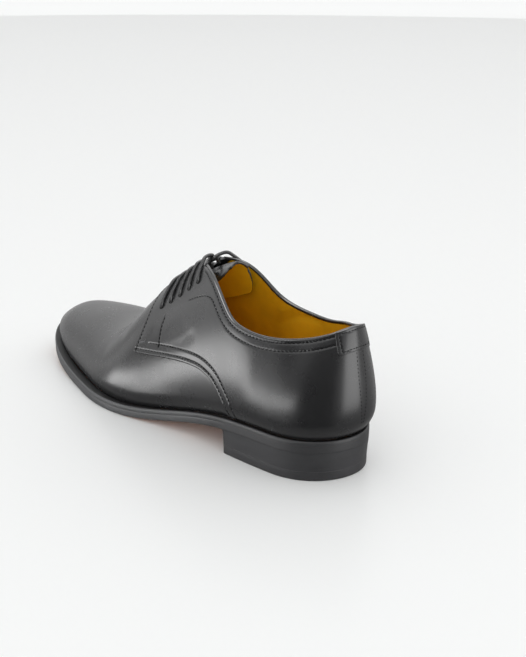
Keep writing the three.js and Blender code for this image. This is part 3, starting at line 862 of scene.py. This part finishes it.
BLACK = calf("black_calf", (0.011, 0.011, 0.012), (0.016, 0.016, 0.017), 0.28, 0.6, 0.16)
TAN = plain_leather("tan_lining", (0.60, 0.31, 0.004), (0.86, 0.48, 0.008), 0.5, 0.12, 30)
TONGUE_TAN = plain_leather("tan_tongue", (0.74, 0.42, 0.006), (0.92, 0.57, 0.010), 0.5, 0.12, 30)
SOCK = plain_leather("tan_sock", (0.40, 0.20, 0.005), (0.56, 0.30, 0.010), 0.5, 0.12, 30)
EDGE = plain_leather(
    "black_edge", (0.062, 0.063, 0.065), (0.078, 0.079, 0.082), 0.42, 0.1, 60, (1, 1, 6), 0.2,
    (0.036, 0.036, 0.038),
)
HEEL_LOOK = ((0.034, 0.034, 0.036), (0.042, 0.042, 0.045), 0.42, 0.06, 40, (1, 1, 6), 0.25)
HEEL = plain_leather("heel_edge", *HEEL_LOOK)
# Welt top: black leather, made much darker than the edge so that it also paints the shade in the gap under
# the upper.
WELT_WITH_PAINTED_SHADE = plain_leather("black_welt", (0.003, 0.003, 0.0035), (0.005, 0.005, 0.0055), 0.6, 0.2, 60)
UNDER = plain_leather("sole_underside", (0.34, 0.13, 0.065), (0.44, 0.19, 0.10), 0.42, 0.15, 25, coat=0.3)
RUBBER = plain_leather("heel_rubber", *HEEL_LOOK)
THREAD = thread_material("black_thread", (0.008, 0.008, 0.009), 0.7, 4, 0.15)
# Bartack thread: its grey is a painted highlight on the raised bartacks.
PAINTED_HIGHLIGHT_THREAD = thread_material("painted_highlight_thread", (0.30, 0.30, 0.31), 0.7, 4, 0.3)
LACE = thread_material("black_lace", (0.006, 0.006, 0.007), 0.3, 2.2, 0.9)
HOLE = plain_leather("hole_wall", (0.004, 0.004, 0.004), (0.006, 0.006, 0.006), 0.8, 0.1, 60)


def side_line(rows, out, step=1.2):
    """Places on the outer side for points given from the side."""
    points = np.array([(0, along(at), FEATHER + height * INSTEP_HEIGHT) for at, height in rows])
    guess = np.array([(turn_of(at), share(height / 1.05) * 1.3 + 0.08) for at, height in rows])
    return settle(points, guess, out, axes=(1, 2))


def offset_line(places, out, distance):
    """Places at a distance to the left of a line on the surface, seen from outside."""
    points = last_point(places[:, 0], places[:, 1], out)
    normals = last_normal(places[:, 0], places[:, 1], out)
    ahead = unit(np.gradient(points, axis=0))
    moved = points + np.cross(normals, ahead) * distance
    return settle(moved, places, out)


front_places = side_line(QUARTER_FRONT, QUARTER_STEP)
front_places = np.concatenate([front_places, [(turn_of(FRONT_TOP[0]), FRONT_TOP[1])]])
front_places = smooth_curve(to_chart(front_places), 1.0)
seam_places = smooth_curve(to_chart(side_line(QUARTER_SEAM, QUARTER_STEP)), 1.0)


def mirrored(chart, side):
    return chart * (side, 1)


def rim_line(side, lower, start=0.0, end=RIM_END_STATION, count=RIM_SPANS):
    turns = side * np.linspace(start, float(turn_of(end)), count)
    return to_chart(np.stack([turns, rim_angle(turns, QUARTER_STEP, lower)], -1))


def quarter_outline(side):
    rim = rim_line(side, ROLL)
    front = mirrored(front_places, side)[::-1]
    seam = mirrored(seam_places, side)
    foot_turns = np.linspace(float(from_chart(seam_places[-1:])[0, 0]), 0, 80)[1:]
    foot = to_chart(np.stack([side * foot_turns, np.full(79, 0.012)], -1))
    back = to_chart(np.stack([np.zeros(60), np.linspace(0.012, from_chart(rim[:1])[0, 1], 60)], -1))[1:-1]
    return np.concatenate([rim, front, seam[1:], foot, back])


def on_surface(chart, out):
    places = from_chart(np.asarray(chart, float))
    return last_point(places[:, 0], places[:, 1], out), last_normal(places[:, 0], places[:, 1], out)


def seam_rows(side):
    """Stitch lines of a quarter, on the chart, with the sense that puts offsets inside it."""
    seam = from_chart(mirrored(seam_places, side))
    rim = from_chart(rim_line(side, 0.0, 0.02, 0.36))
    close = offset_line(seam, QUARTER_STEP, 1.9 * side)
    front = offset_line(from_chart(mirrored(front_places, side)[::-1][6:]), QUARTER_STEP, 1.9 * side)
    parallel = offset_line(seam[14:], QUARTER_STEP, 7.0 * side)
    edge = offset_line(rim, QUARTER_STEP, 2.4 * side)
    inner = offset_line(from_chart(rim_line(side, 0.0, 0.02, 0.305)), QUARTER_STEP, 7.2 * side)
    return [to_chart(line) for line in (close, parallel, edge, inner, front)]


def place_line(rows, side):
    return mirrored(to_chart(np.array([(turn_of(at), angle) for at, angle in rows])), side)


def crease_marks(creases, side, out):
    """Marks of soft troughs and ridges along listed lines."""
    marks = []
    for line, depth, width in creases:
        places = from_chart(smooth_curve(place_line(line, side), 1.0))
        marks.append(Mark(last_point(places[:, 0], places[:, 1], out), depth, width))
    return marks


def build_quarter(side, word):
    outline = rounded(quarter_outline(side), 0.5, 1.5)
    close, parallel, edge, inner, front = seam_rows(side)
    arc = smooth_curve(np.concatenate([inner[-30:-8:7], place_line(ARC_END, side)]), 0.8)
    inner = np.concatenate([inner[:-30], arc])
    facing = smooth_curve(place_line(FACING_LINE, side), 0.8)
    rows = [resample(line, 0.6) for line in (close, parallel, edge, inner, front, facing)]
    # Stitch lines are pressed in, with painted shade in their grooves.
    marks = [Mark(on_surface(line, QUARTER_STEP)[0], 0.24, 0.6, 0.9) for line in rows]
    holes = []
    for pair in range(EYELET_PAIRS):
        turn, angle = eyelet(pair, side)
        holes.append((to_chart(np.array([(turn, angle)]))[0], EYELET_RADIUS))
    rims = [last_point(*eyelet(pair, side), QUARTER_STEP) for pair in range(EYELET_PAIRS)]
    # Pressed rings round the eyelets, darkened with painted shade.
    marks.append(Mark(rims, 0.45, 1.9, 0.5))
    marks += crease_marks(QUARTER_CREASES, side, QUARTER_STEP)
    lines = [(line, 0.8, (-1.3, -0.75, -0.35, 0, 0.35, 0.75, 1.3)) for line in rows]
    depth = QUARTER_STEP + 1.4
    make_patch(f"quarter_{word}", outline, QUARTER_STEP, ROLL, depth, marks, 1.5, lines, holes)
    stitched = []
    for line in rows:
        points, normals = on_surface(line, QUARTER_STEP)
        stitched.append(stitch_row(points, normals, *QUARTER_STITCH))
    add_rows(f"stitching_{word}", stitched, THREAD)


def eyelet(pair, side):
    t = pair / (EYELET_PAIRS - 1)
    station = EYELET_STATIONS[0] + (EYELET_STATIONS[1] - EYELET_STATIONS[0]) * t
    angle = EYELET_ANGLES[0] + (EYELET_ANGLES[1] - EYELET_ANGLES[0]) * t
    return side * float(turn_of(station)), angle


def build_eyelets():
    rows = []
    for side in (1, -1):
        for pair in range(EYELET_PAIRS):
            turn, angle = eyelet(pair, side)
            top = last_point(turn, angle, QUARTER_STEP - 0.35)
            foot = last_point(turn, angle, -WALL - 0.1)
            axis = unit(top - foot)
            a = unit(np.cross(axis, (0.2, 0.9, 0.3)))
            b = np.cross(axis, a)
            turns = np.linspace(0, 2 * math.pi, 20, endpoint=False)
            ring = np.cos(turns)[:, None] * a + np.sin(turns)[:, None] * b
            points = []
            for centre, wide in ((top, 1.05), (top - axis * 0.3, 1), (foot, 1)):
                points += list(centre + ring * (EYELET_RADIUS * wide))
            rows.append((points, grid_faces(3, 20, closed=True, flip=True)))
    add_rows("eyelet_walls", rows, HOLE)


def build_vamp():
    """Vamp under the quarters, out to the feather line all round."""
    count, rows = VAMP_GRID
    turns = np.linspace(0, 2 * math.pi, count, endpoint=False)
    rim = rim_angle(turns, 0.0, 0.3)
    levels = np.linspace(0, 1, rows) ** 1.15
    angle = 0.004 + (rim - 0.004)[None, :] * levels[:, None]
    turn = np.broadcast_to(turns, angle.shape)
    points = last_point(turn, angle, 0.0).reshape(-1, 3)
    normals = last_normal(turn, angle, 0.0).reshape(-1, 3)
    marks = []
    for side in (1, -1):
        # Painted shade on the vamp along the quarters' front edge and seam, where their step shades it.
        edge = np.concatenate([mirrored(front_places, side)[::-1], mirrored(seam_places, side)])
        marks.append(Mark(on_surface(edge, 0.0)[0], 0.05, 1.7, 1.0))
        marks += crease_marks(VAMP_CREASES, side, 0.0)
    points, normals, tone = pressed(points, normals, marks)
    lip = last_point(turns, rim, -WALL * 0.9)
    lip_normals = normals[-len(turns):]
    points = np.concatenate([points, lip])
    normals = np.concatenate([normals, lip_normals])
    tone = np.concatenate([tone, tone[-len(turns):]])
    faces = grid_faces(rows + 1, len(turns), closed=True, flip=True)
    add_calf("vamp", points, faces, normals=normals, tones=tone)


def build_lining():
    """Lining with soft wrinkles on the inner side, its top edge tucked under the bead."""
    count, rows = LINING_GRID
    turns = np.linspace(0, 2 * math.pi, count, endpoint=False)
    rim = rim_angle(turns, -WALL, 1.7)
    angle = 0.02 + (rim - 0.02)[None, :] * np.linspace(0, 1, rows)[:, None]
    turn = np.broadcast_to(turns, angle.shape)
    points = last_point(turn, angle, -WALL).reshape(-1, 3)
    normals = -last_normal(turn, angle, -WALL).reshape(-1, 3)
    points, normals, _ = pressed(points, normals, crease_marks(LINING_WRINKLES, -1, -WALL))
    faces = grid_faces(rows, len(turns), closed=True)
    make_mesh("lining", points, faces, [TAN], "tan_lining", ("upper",), normals)


def build_bead(side, word):
    """Folded edge of the quarter over the top of the lining."""
    turns = side * np.linspace(0, float(turn_of(RIM_END_STATION)), RIM_SPANS)
    profile = ((0.2, 0.12), (-0.6, 0.0), (-1.2, 0.05), (-1.7, 0.3))
    profile += ((-1.98, 0.75), (-2.05, 1.3), (-2.02, 1.9), (-1.7, 2.1))
    points = []
    for out, lower in profile:
        points.append(last_point(turns, rim_angle(turns, out, lower), out))
    faces = grid_faces(len(profile), len(turns), flip=side > 0)
    add_calf(f"bead_{word}", np.concatenate(points), faces)


def tongue_fall(y):
    return TONGUE_FALL_RATE * np.maximum(0, along(TONGUE_BEND) - y)


def build_tongue():
    """Leaf under the facings, black outside and tan on the foot's side."""
    back, front = TONGUE_STATIONS
    count, half_rows = 60, 14
    t = np.linspace(0, 1, count + 1)[:, None]
    across = np.linspace(-1, 1, 2 * half_rows + 1)[None, :]
    round_end = np.sqrt(1 - (1 - share(t / TONGUE_ROUND)) ** 2)
    full = TONGUE_HALVES[0] + (TONGUE_HALVES[1] - TONGUE_HALVES[0]) * t
    half = np.maximum(full * round_end, TONGUE_END)
    reach = half * np.abs(across)
    lean = TONGUE_LEAN * (1 - t) * (reach / TONGUE_HALVES[0]) ** 2
    turn = turn_of(back + (front - back) * t - lean) * np.where(across <= 0, 1, -1)
    columns = []
    for layer in (0, 1):
        out = -WALL - TONGUE_DROP - layer * TONGUE_THICKNESS + 2.6 * share((t - 0.9) / 0.1) * (1 - layer)
        out = np.broadcast_to(out, turn.shape)
        low = np.full(turn.shape, 0.3)
        high = np.full(turn.shape, RIDGE)
        for _ in range(22):
            middle = (low + high) / 2
            point = last_point(turn, middle, out, tongue_fall)
            far = np.abs(point[..., 0] - ridge_x(point[..., 1])) > reach
            low = np.where(far, middle, low)
            high = np.where(far, high, middle)
        columns.append(last_point(turn, high, out, tongue_fall))
    top, bottom = columns
    rows, width = top.shape[:2]
    points = np.concatenate([top.reshape(-1, 3), bottom.reshape(-1, 3)])
    below = rows * width
    faces = grid_faces(rows, width, flip=True)
    under = grid_faces(rows, width, start=below)
    rim = list(range(0, below, width))[::-1] + list(range(1, width))
    rim += list(range(2 * width - 1, below, width)) + list(range(below - width + 1, below - 1))[::-1]
    sides = [(a, b, b + below, a + below) for a, b in zip(rim, rim[1:] + rim[:1])]
    piece = make_mesh(
        "tongue_leather", points, faces + under + sides, [BLACK, TONGUE_TAN], "tongue_calf", ("tongue",)
    )
    use_second(piece, len(faces), len(faces) + len(under))
    bevel = piece.modifiers.new("edge", "BEVEL")
    bevel.width = 0.5 * MM
    bevel.segments = 2
    bevel.limit_method = "ANGLE"
    bevel.angle_limit = math.radians(40)
    bevel.material = 0


def build_sock():
    """Sock lining on the insole, dished a little at its edge."""
    count, across = 120, 16
    stations = station_of(np.linspace(0.001, math.pi - 0.001, count))
    turns = turn_of(stations)
    gap = margin_share(stations) * WELT_MARGIN + FEATHER_TUCK + WALL + 0.4
    left, right = inset_edge(turns, gap), inset_edge(-turns, gap)
    points = []
    for j in range(across + 1):
        t = j / across
        plan = left + (right - left) * t
        edge = 1 - 4 * t * (1 - t)
        z = underside(station_at(plan[:, 1])) + INSOLE_TOP + 1.6 * edge**5 - 0.15
        points.append(np.concatenate([plan, z[:, None]], -1))
    points = np.concatenate(points)
    low = points - np.array([0, 0, INSOLE_TOP - OUTSOLE_THICKNESS - 0.4])
    faces = grid_faces(across + 1, count, flip=True) + grid_faces(across + 1, count, start=len(points))
    make_mesh("sock", np.concatenate([points, low]), faces, [SOCK], "tan_lining", ("insole",))


def heel_part(station):
    """One over the heel and zero in front of it."""
    return share((HEEL_LENGTH / SOLE_LENGTH + 0.012 - station) / 0.012)


def loft_edge(turns, rows):
    """Points round the sole's edge at rows of inset, inset over the heel, and height."""
    station = station_of(turns)
    points = []
    for inset, over_heel, above in rows:
        plan = inset_edge(turns, inset + (over_heel - inset) * heel_part(station))
        points.append(np.concatenate([plan, (underside(station) + above)[:, None]], -1))
    return points


def edge_tone(points):
    """How far each point of the sole's edge takes the darker tone of the heel."""
    return share((0.36 - station_at(points[:, 1])) / 0.1)


def build_sole():
    """Outsole with its edge, and the welt with its lit rim."""
    turns = np.linspace(0, 2 * math.pi, SOLE_SPANS, endpoint=False)
    joint = OUTSOLE_THICKNESS
    profile = (
        (1.0, 0.1, 0.0), (0.45, 0.05, 0.12), (0.12, 0.0, 0.45), (0.0, 0.0, 1.1),
        (0.0, 0.0, joint - 0.5), (0.05, 0.0, joint - 0.15), (0.12, 0.02, joint),
    )
    rows = loft_edge(turns, profile)
    across = UNDERSIDE_SPANS
    pair = np.arange(1, len(turns) // 2)
    points = np.concatenate(rows)
    faces = grid_faces(len(rows), len(turns), closed=True, flip=True)
    start = len(points)
    bottom = []
    plan_left = rows[0][pair]
    plan_right = rows[0][-pair]
    for j in range(across + 1):
        t = j / across
        line = plan_left + (plan_right - plan_left) * t
        gap = np.minimum(*(np.linalg.norm(line - edge, axis=1) for edge in (plan_left, plan_right)))
        rise = CHANNEL_DEPTH * np.exp(-(((gap - CHANNEL_INSET) / CHANNEL_WIDTH) ** 2))
        bottom.append(line + np.array([0, 0, 1]) * rise[:, None])
    bottom = np.concatenate(bottom)
    bottom_faces = grid_faces(across + 1, len(pair), start=start, flip=True)
    points = np.concatenate([points, bottom])
    piece = make_mesh(
        "outsole_leather", points, faces + bottom_faces, [EDGE, UNDER], "sole_leather", ("outsole",),
        tones=edge_tone(points),
    )
    use_second(piece, len(faces), len(faces + bottom_faces))

    top = FEATHER
    profile = (
        (0.12, 0.02, joint + 0.02), (0.05, 0.0, joint + 0.2), (0.0, 0.0, joint + 0.5),
        (0.0, 0.0, top - 0.75),
        (0.1, 0.1, top - 0.4), (0.35, 0.35, top - 0.12), (0.75, 0.75, top), (2.2, 2.2, top),
        (6.5, 6.5, top - 0.2),
    )
    rows = loft_edge(turns, profile)
    faces = grid_faces(len(rows), len(turns), closed=True, flip=True)
    points = np.concatenate(rows)
    piece = make_mesh(
        "welt_leather", points, faces, [EDGE, WELT_WITH_PAINTED_SHADE], "black_welt", ("welt",), tones=edge_tone(points)
    )
    # The welt's flat top takes the welt colour, which holds painted shade.
    use_second(piece, (len(profile) - 3) * len(turns), len(faces))


def heel_ring(inset):
    """Plan of the heel at one level, round the back from one end of the breast to the other."""
    breast = along(0) + HEEL_LENGTH
    turns = np.linspace(0, math.pi / 2, 900)
    halves = []
    for side in (-1, 1):
        plan = inset_edge(side * turns, inset)
        halves.append(resample(plan[: int(np.argmax(plan[:, 1] > breast))], 1.2))
    medial, lateral = halves
    return resample(np.concatenate([medial[::-1], lateral[1:]]), 1.0)


def make_heel_block(name, levels, material, slot, node):
    """Block with rings at levels of inset and height, where no height means the sole's underside."""
    rings = []
    for inset, height in levels:
        outer = heel_ring(inset)
        at = np.linspace(0, len(outer) - 1, 181)
        back = np.stack([np.interp(at, np.arange(len(outer)), outer[:, i]) for i in (0, 1)], -1)
        t = np.linspace(0, 1, 41)[1:-1]
        front = back[-1] + (back[0] - back[-1]) * t[:, None]
        ring = np.concatenate([back, front])
        if height is None:
            z = underside(station_at(ring[:, 1]))
        else:
            z = np.full(len(ring), float(height))
        rings.append(np.concatenate([ring, z[:, None]], -1))
    width = len(rings[0])
    faces = grid_faces(len(rings), width, closed=True) + [tuple(range(width))[::-1]]
    make_mesh(name, np.concatenate(rings), faces, [material], slot, (node,))
    mesh = bpy.data.objects[name].data
    mesh.polygons[len(faces) - 1].use_smooth = False
    mesh.set_sharp_from_angle(angle=math.radians(35))


def build_heel():
    """Heel block with crisp edges, and its rubber top piece."""
    base = TOP_PIECE_THICKNESS
    levels = [(HEEL_TAPER + 0.5, 0.0), (HEEL_TAPER + 0.12, 0.2), (HEEL_TAPER, 0.6)]
    levels += [(HEEL_TAPER, base - 0.02)]
    make_heel_block("heel_cap", levels, RUBBER, "heel_rubber", "heel_top_piece")
    levels = [(HEEL_TAPER, base), (HEEL_TAPER * 0.6, base + 5.5), (0.1, base + 10), (0.02, None)]
    make_heel_block("heel_block", levels, HEEL, "heel_leather", "heel_stack")


def build_heel_tab():
    out = QUARTER_STEP + HEEL_TAB_STEP
    top_turns = np.linspace(-0.6, 0.6, 241)
    rim = rim_angle(top_turns, out, ROLL)
    points = last_point(top_turns, rim, out)
    length = np.concatenate([[0], np.cumsum(np.linalg.norm(np.diff(points, axis=0), axis=1))])
    length -= np.interp(0, top_turns, length)
    reach = float(np.interp(HEEL_TAB_WIDTH / 2, length, top_turns))
    outline = []
    for t in np.linspace(-1, 1, 40):
        turn = t * reach
        outline.append((turn, float(rim_angle(turn, out, ROLL - 0.3)[0])))
    for t in np.linspace(1, -1, 40):
        turn = t * reach * HEEL_TAB_TAPER
        outline.append((turn, float(rim_angle(turn, out, HEEL_TAB_HEIGHT)[0])))
    ring = rounded(to_chart(np.array(outline)), 0.4, 0.8)
    centre = ring.mean(0)
    inner = centre + (ring - centre) * np.array([0.86, 0.80])
    row = resample(inner, 0.5, closed=True)
    surface = on_surface(row, out)
    # Light painted shade along the tab's stitch row.
    marks = [Mark(surface[0], 0.15, 0.5, 0.3)]
    make_patch("heel_tab", ring, out, 0.5, HEEL_TAB_STEP + 0.7, marks, 0.8)
    loop = on_surface(np.concatenate([row, row[:1]]), out)
    add_rows("stitching_tab", [stitch_row(*loop, *TAB_STITCH)], THREAD)


def build_back_seam():
    rows = []
    high = float(rim_angle(0.0, QUARTER_STEP, HEEL_TAB_HEIGHT + 1)[0])
    for side in (1, -1):
        angles = np.linspace(0.1, high, 80)
        spread = 2.6 * share((angles - 0.1) / 0.35) ** 0.7 + 0.35
        chart = np.stack([side * spread, angles * CHART_HEIGHT], -1)
        rows.append(stitch_row(*on_surface(resample(chart, 0.5), QUARTER_STEP), *BACK_STITCH))
    add_rows("stitching_back", rows, THREAD)


def build_bartacks():
    rows = []
    for side in (1, -1):
        line = place_line(((0.503, 0.545), (0.486, 0.548)), side)
        points, normals = on_surface(resample(line, 0.5), QUARTER_STEP)
        for shift in (-0.25, 0.25):
            rows.append(stitch_row(points + np.array([0, 0, shift]), normals, *TACK_STITCH))
    # The bartacks' thread is painted grey for their highlight.
    add_rows("bartacks", rows, PAINTED_HIGHLIGHT_THREAD)


def build_laces():
    for pair in range(EYELET_PAIRS):
        for side, word in ((1, "lateral"), (-1, "medial")):
            turn, angle = eyelet(pair, side)
            t = pair / (EYELET_PAIRS - 1)
            crest_station = LACE_STATIONS[0] + (LACE_STATIONS[1] - LACE_STATIONS[0]) * t
            pitch = (LACE_STATIONS[0] - LACE_STATIONS[1]) / (EYELET_PAIRS - 1)
            station = float(station_of(turn))

            def climb(rise, over):
                at = station + (crest_station - station) * rise
                high = angle + (RIDGE - angle) * rise
                return last_point(side * float(turn_of(at)), high, over)

            def crest(back, reach, height):
                y = along(crest_station - pitch * back)
                return np.array([ridge_x(y) + side * -reach, y, ridge_height(y) + height])

            over = QUARTER_STEP + 0.85 * LACE_RADIUS
            level = -1.1 + 0.8 * side
            depth = 2.4 + min(tongue_fall(along(crest_station)), 4.0)
            route = [
                climb(0.06, -WALL - 1.6),
                climb(0.0, -WALL - 0.2),
                climb(0.0, QUARTER_STEP - 0.2),
                climb(0.06, over - 0.1),
                climb(0.2, over),
                climb(0.38, over),
                climb(0.55, over),
                crest(0.15, 0.0, level),
                crest(0.22, 2.6, -1.7),
                crest(0.3, 4.5, -0.75 * depth),
                crest(0.36, 5.4, -depth),
            ]
            path = smooth_curve(route, 0.35)
            node = f"lace_crossing_{pair + 1}"
            sweep(f"lace_{word}_{pair + 1}", path, LACE_RADIUS, LACE, "lace_cotton", (node,))


def build_camera():
    azimuth, elevation = math.radians(CAMERA_AZIMUTH), math.radians(CAMERA_ELEVATION)
    level = math.cos(elevation)
    back = Vector((math.sin(azimuth) * level, -math.cos(azimuth) * level, math.sin(elevation)))
    right = Vector((0, 0, 1)).cross(back).normalized()
    up = back.cross(right)
    roll = math.radians(CAMERA_ROLL)
    turned_right = right * math.cos(roll) + up * math.sin(roll)
    turned_up = up * math.cos(roll) - right * math.sin(roll)
    data = bpy.data.cameras.new("camera")
    data.sensor_fit = "VERTICAL"
    data.sensor_height = SENSOR_HEIGHT
    data.lens = FOCAL_PIXELS / IMAGE_HEIGHT * SENSOR_HEIGHT
    data.clip_start = 0.01
    camera = bpy.data.objects.new("camera", data)
    target = (Vector(CAMERA_TARGET) + Vector(SHIFT)) * MM
    axes = Matrix((turned_right, turned_up, back)).transposed().to_4x4()
    camera.matrix_world = Matrix.Translation(target + back * CAMERA_DISTANCE * MM) @ axes
    bpy.context.scene.collection.objects.link(camera)
    bpy.context.scene.camera = camera


def hump(value, centre, half, soft):
    """One inside a span and zero outside it, with soft ends."""
    return share((half + soft - np.abs(value - centre)) / soft)


def build_reflections():
    """Sphere that only glossy surfaces see: soft boxes low at the left, and a dim room behind."""
    count, rings = 144, 90
    azimuth = np.radians(np.arange(count) * 360 / count)
    elevation = np.radians(np.linspace(-89.5, 89.5, rings))
    az, el = np.meshgrid(azimuth, elevation)
    places = np.stack([np.sin(az) * np.cos(el), np.cos(az) * np.cos(el), np.sin(el)], -1).reshape(-1, 3)
    az = (np.degrees(az).ravel() + 180) % 360 - 180
    el = np.degrees(el).ravel()
    around = np.abs((az - 164 + 180) % 360 - 180)
    glow = 0.22 + 0.36 * share((el + 24) / 20) + 0.52 * share((el - 6) / 26)
    glow += 0.5 * hump(az, -30, 6, 10) * hump(el, 6, 5, 8)
    glow *= 1 - 0.85 * hump(az, -132, 24, 18) * hump(el, -8, 26, 14)
    glow += 5.2 * hump(az, -50, 10, 7) * hump(el, -9, 3.2, 3.5)
    glow += 4.2 * hump(az, -80, 16, 8) * hump(el + 16 + 0.27 * (az + 62), 0, 2, 4)
    glow += 2.3 * hump(around, 0, 14, 8) * hump(el, -4, 10, 8)
    glow += 9 * hump(el, 90, 14, 8)
    mesh = bpy.data.meshes.new("reflections")
    mesh.from_pydata((places * 4).tolist(), [], grid_faces(rings, count, closed=True))
    tone = mesh.attributes.new("glow", "FLOAT", "POINT")
    tone.data.foreach_set("value", glow)
    material = bpy.data.materials.new("reflections")
    material.use_nodes = True
    nodes = material.node_tree.nodes
    nodes.clear()
    value = add_node(nodes, "ShaderNodeAttribute", attribute_name="glow")
    emission = nodes.new("ShaderNodeEmission")
    output = nodes.new("ShaderNodeOutputMaterial")
    material.node_tree.links.new(value.outputs["Fac"], emission.inputs["Strength"])
    material.node_tree.links.new(emission.outputs[0], output.inputs["Surface"])
    material.cycles.emission_sampling = "NONE"
    mesh.materials.append(material)
    dome = bpy.data.objects.new("reflections", mesh)
    dome.visible_camera = False
    dome.visible_diffuse = False
    dome.visible_transmission = False
    dome.visible_shadow = False
    bpy.context.scene.collection.objects.link(dome)


def build_studio():
    scene = bpy.context.scene
    scene.view_settings.view_transform = "Standard"
    scene.view_settings.look = "None"
    world = bpy.data.worlds.new("studio")
    world.use_nodes = True
    background = world.node_tree.nodes["Background"]
    background.inputs["Color"].default_value = (0.995, 1.0, 0.998, 1)
    background.inputs["Strength"].default_value = 1.0
    scene.world = world
    build_reflections()

    bpy.ops.mesh.primitive_plane_add(size=30)
    floor = bpy.context.object
    floor.name = "floor"
    material, nodes, links, shader = new_material("floor_white")
    shader.inputs["Base Color"].default_value = (0.945, 0.95, 0.947, 1)
    shader.inputs["Roughness"].default_value = 0.3
    shader.inputs["Specular IOR Level"].default_value = 0.3
    floor.data.materials.append(material)
    floor.visible_glossy = False


build_camera()
build_studio()
build_vamp()
build_quarter(1, "lateral")
build_quarter(-1, "medial")
build_eyelets()
build_heel_tab()
build_back_seam()
build_bartacks()
build_lining()
build_bead(1, "lateral")
build_bead(-1, "medial")
build_tongue()
build_sock()
build_sole()
build_heel()
build_laces()
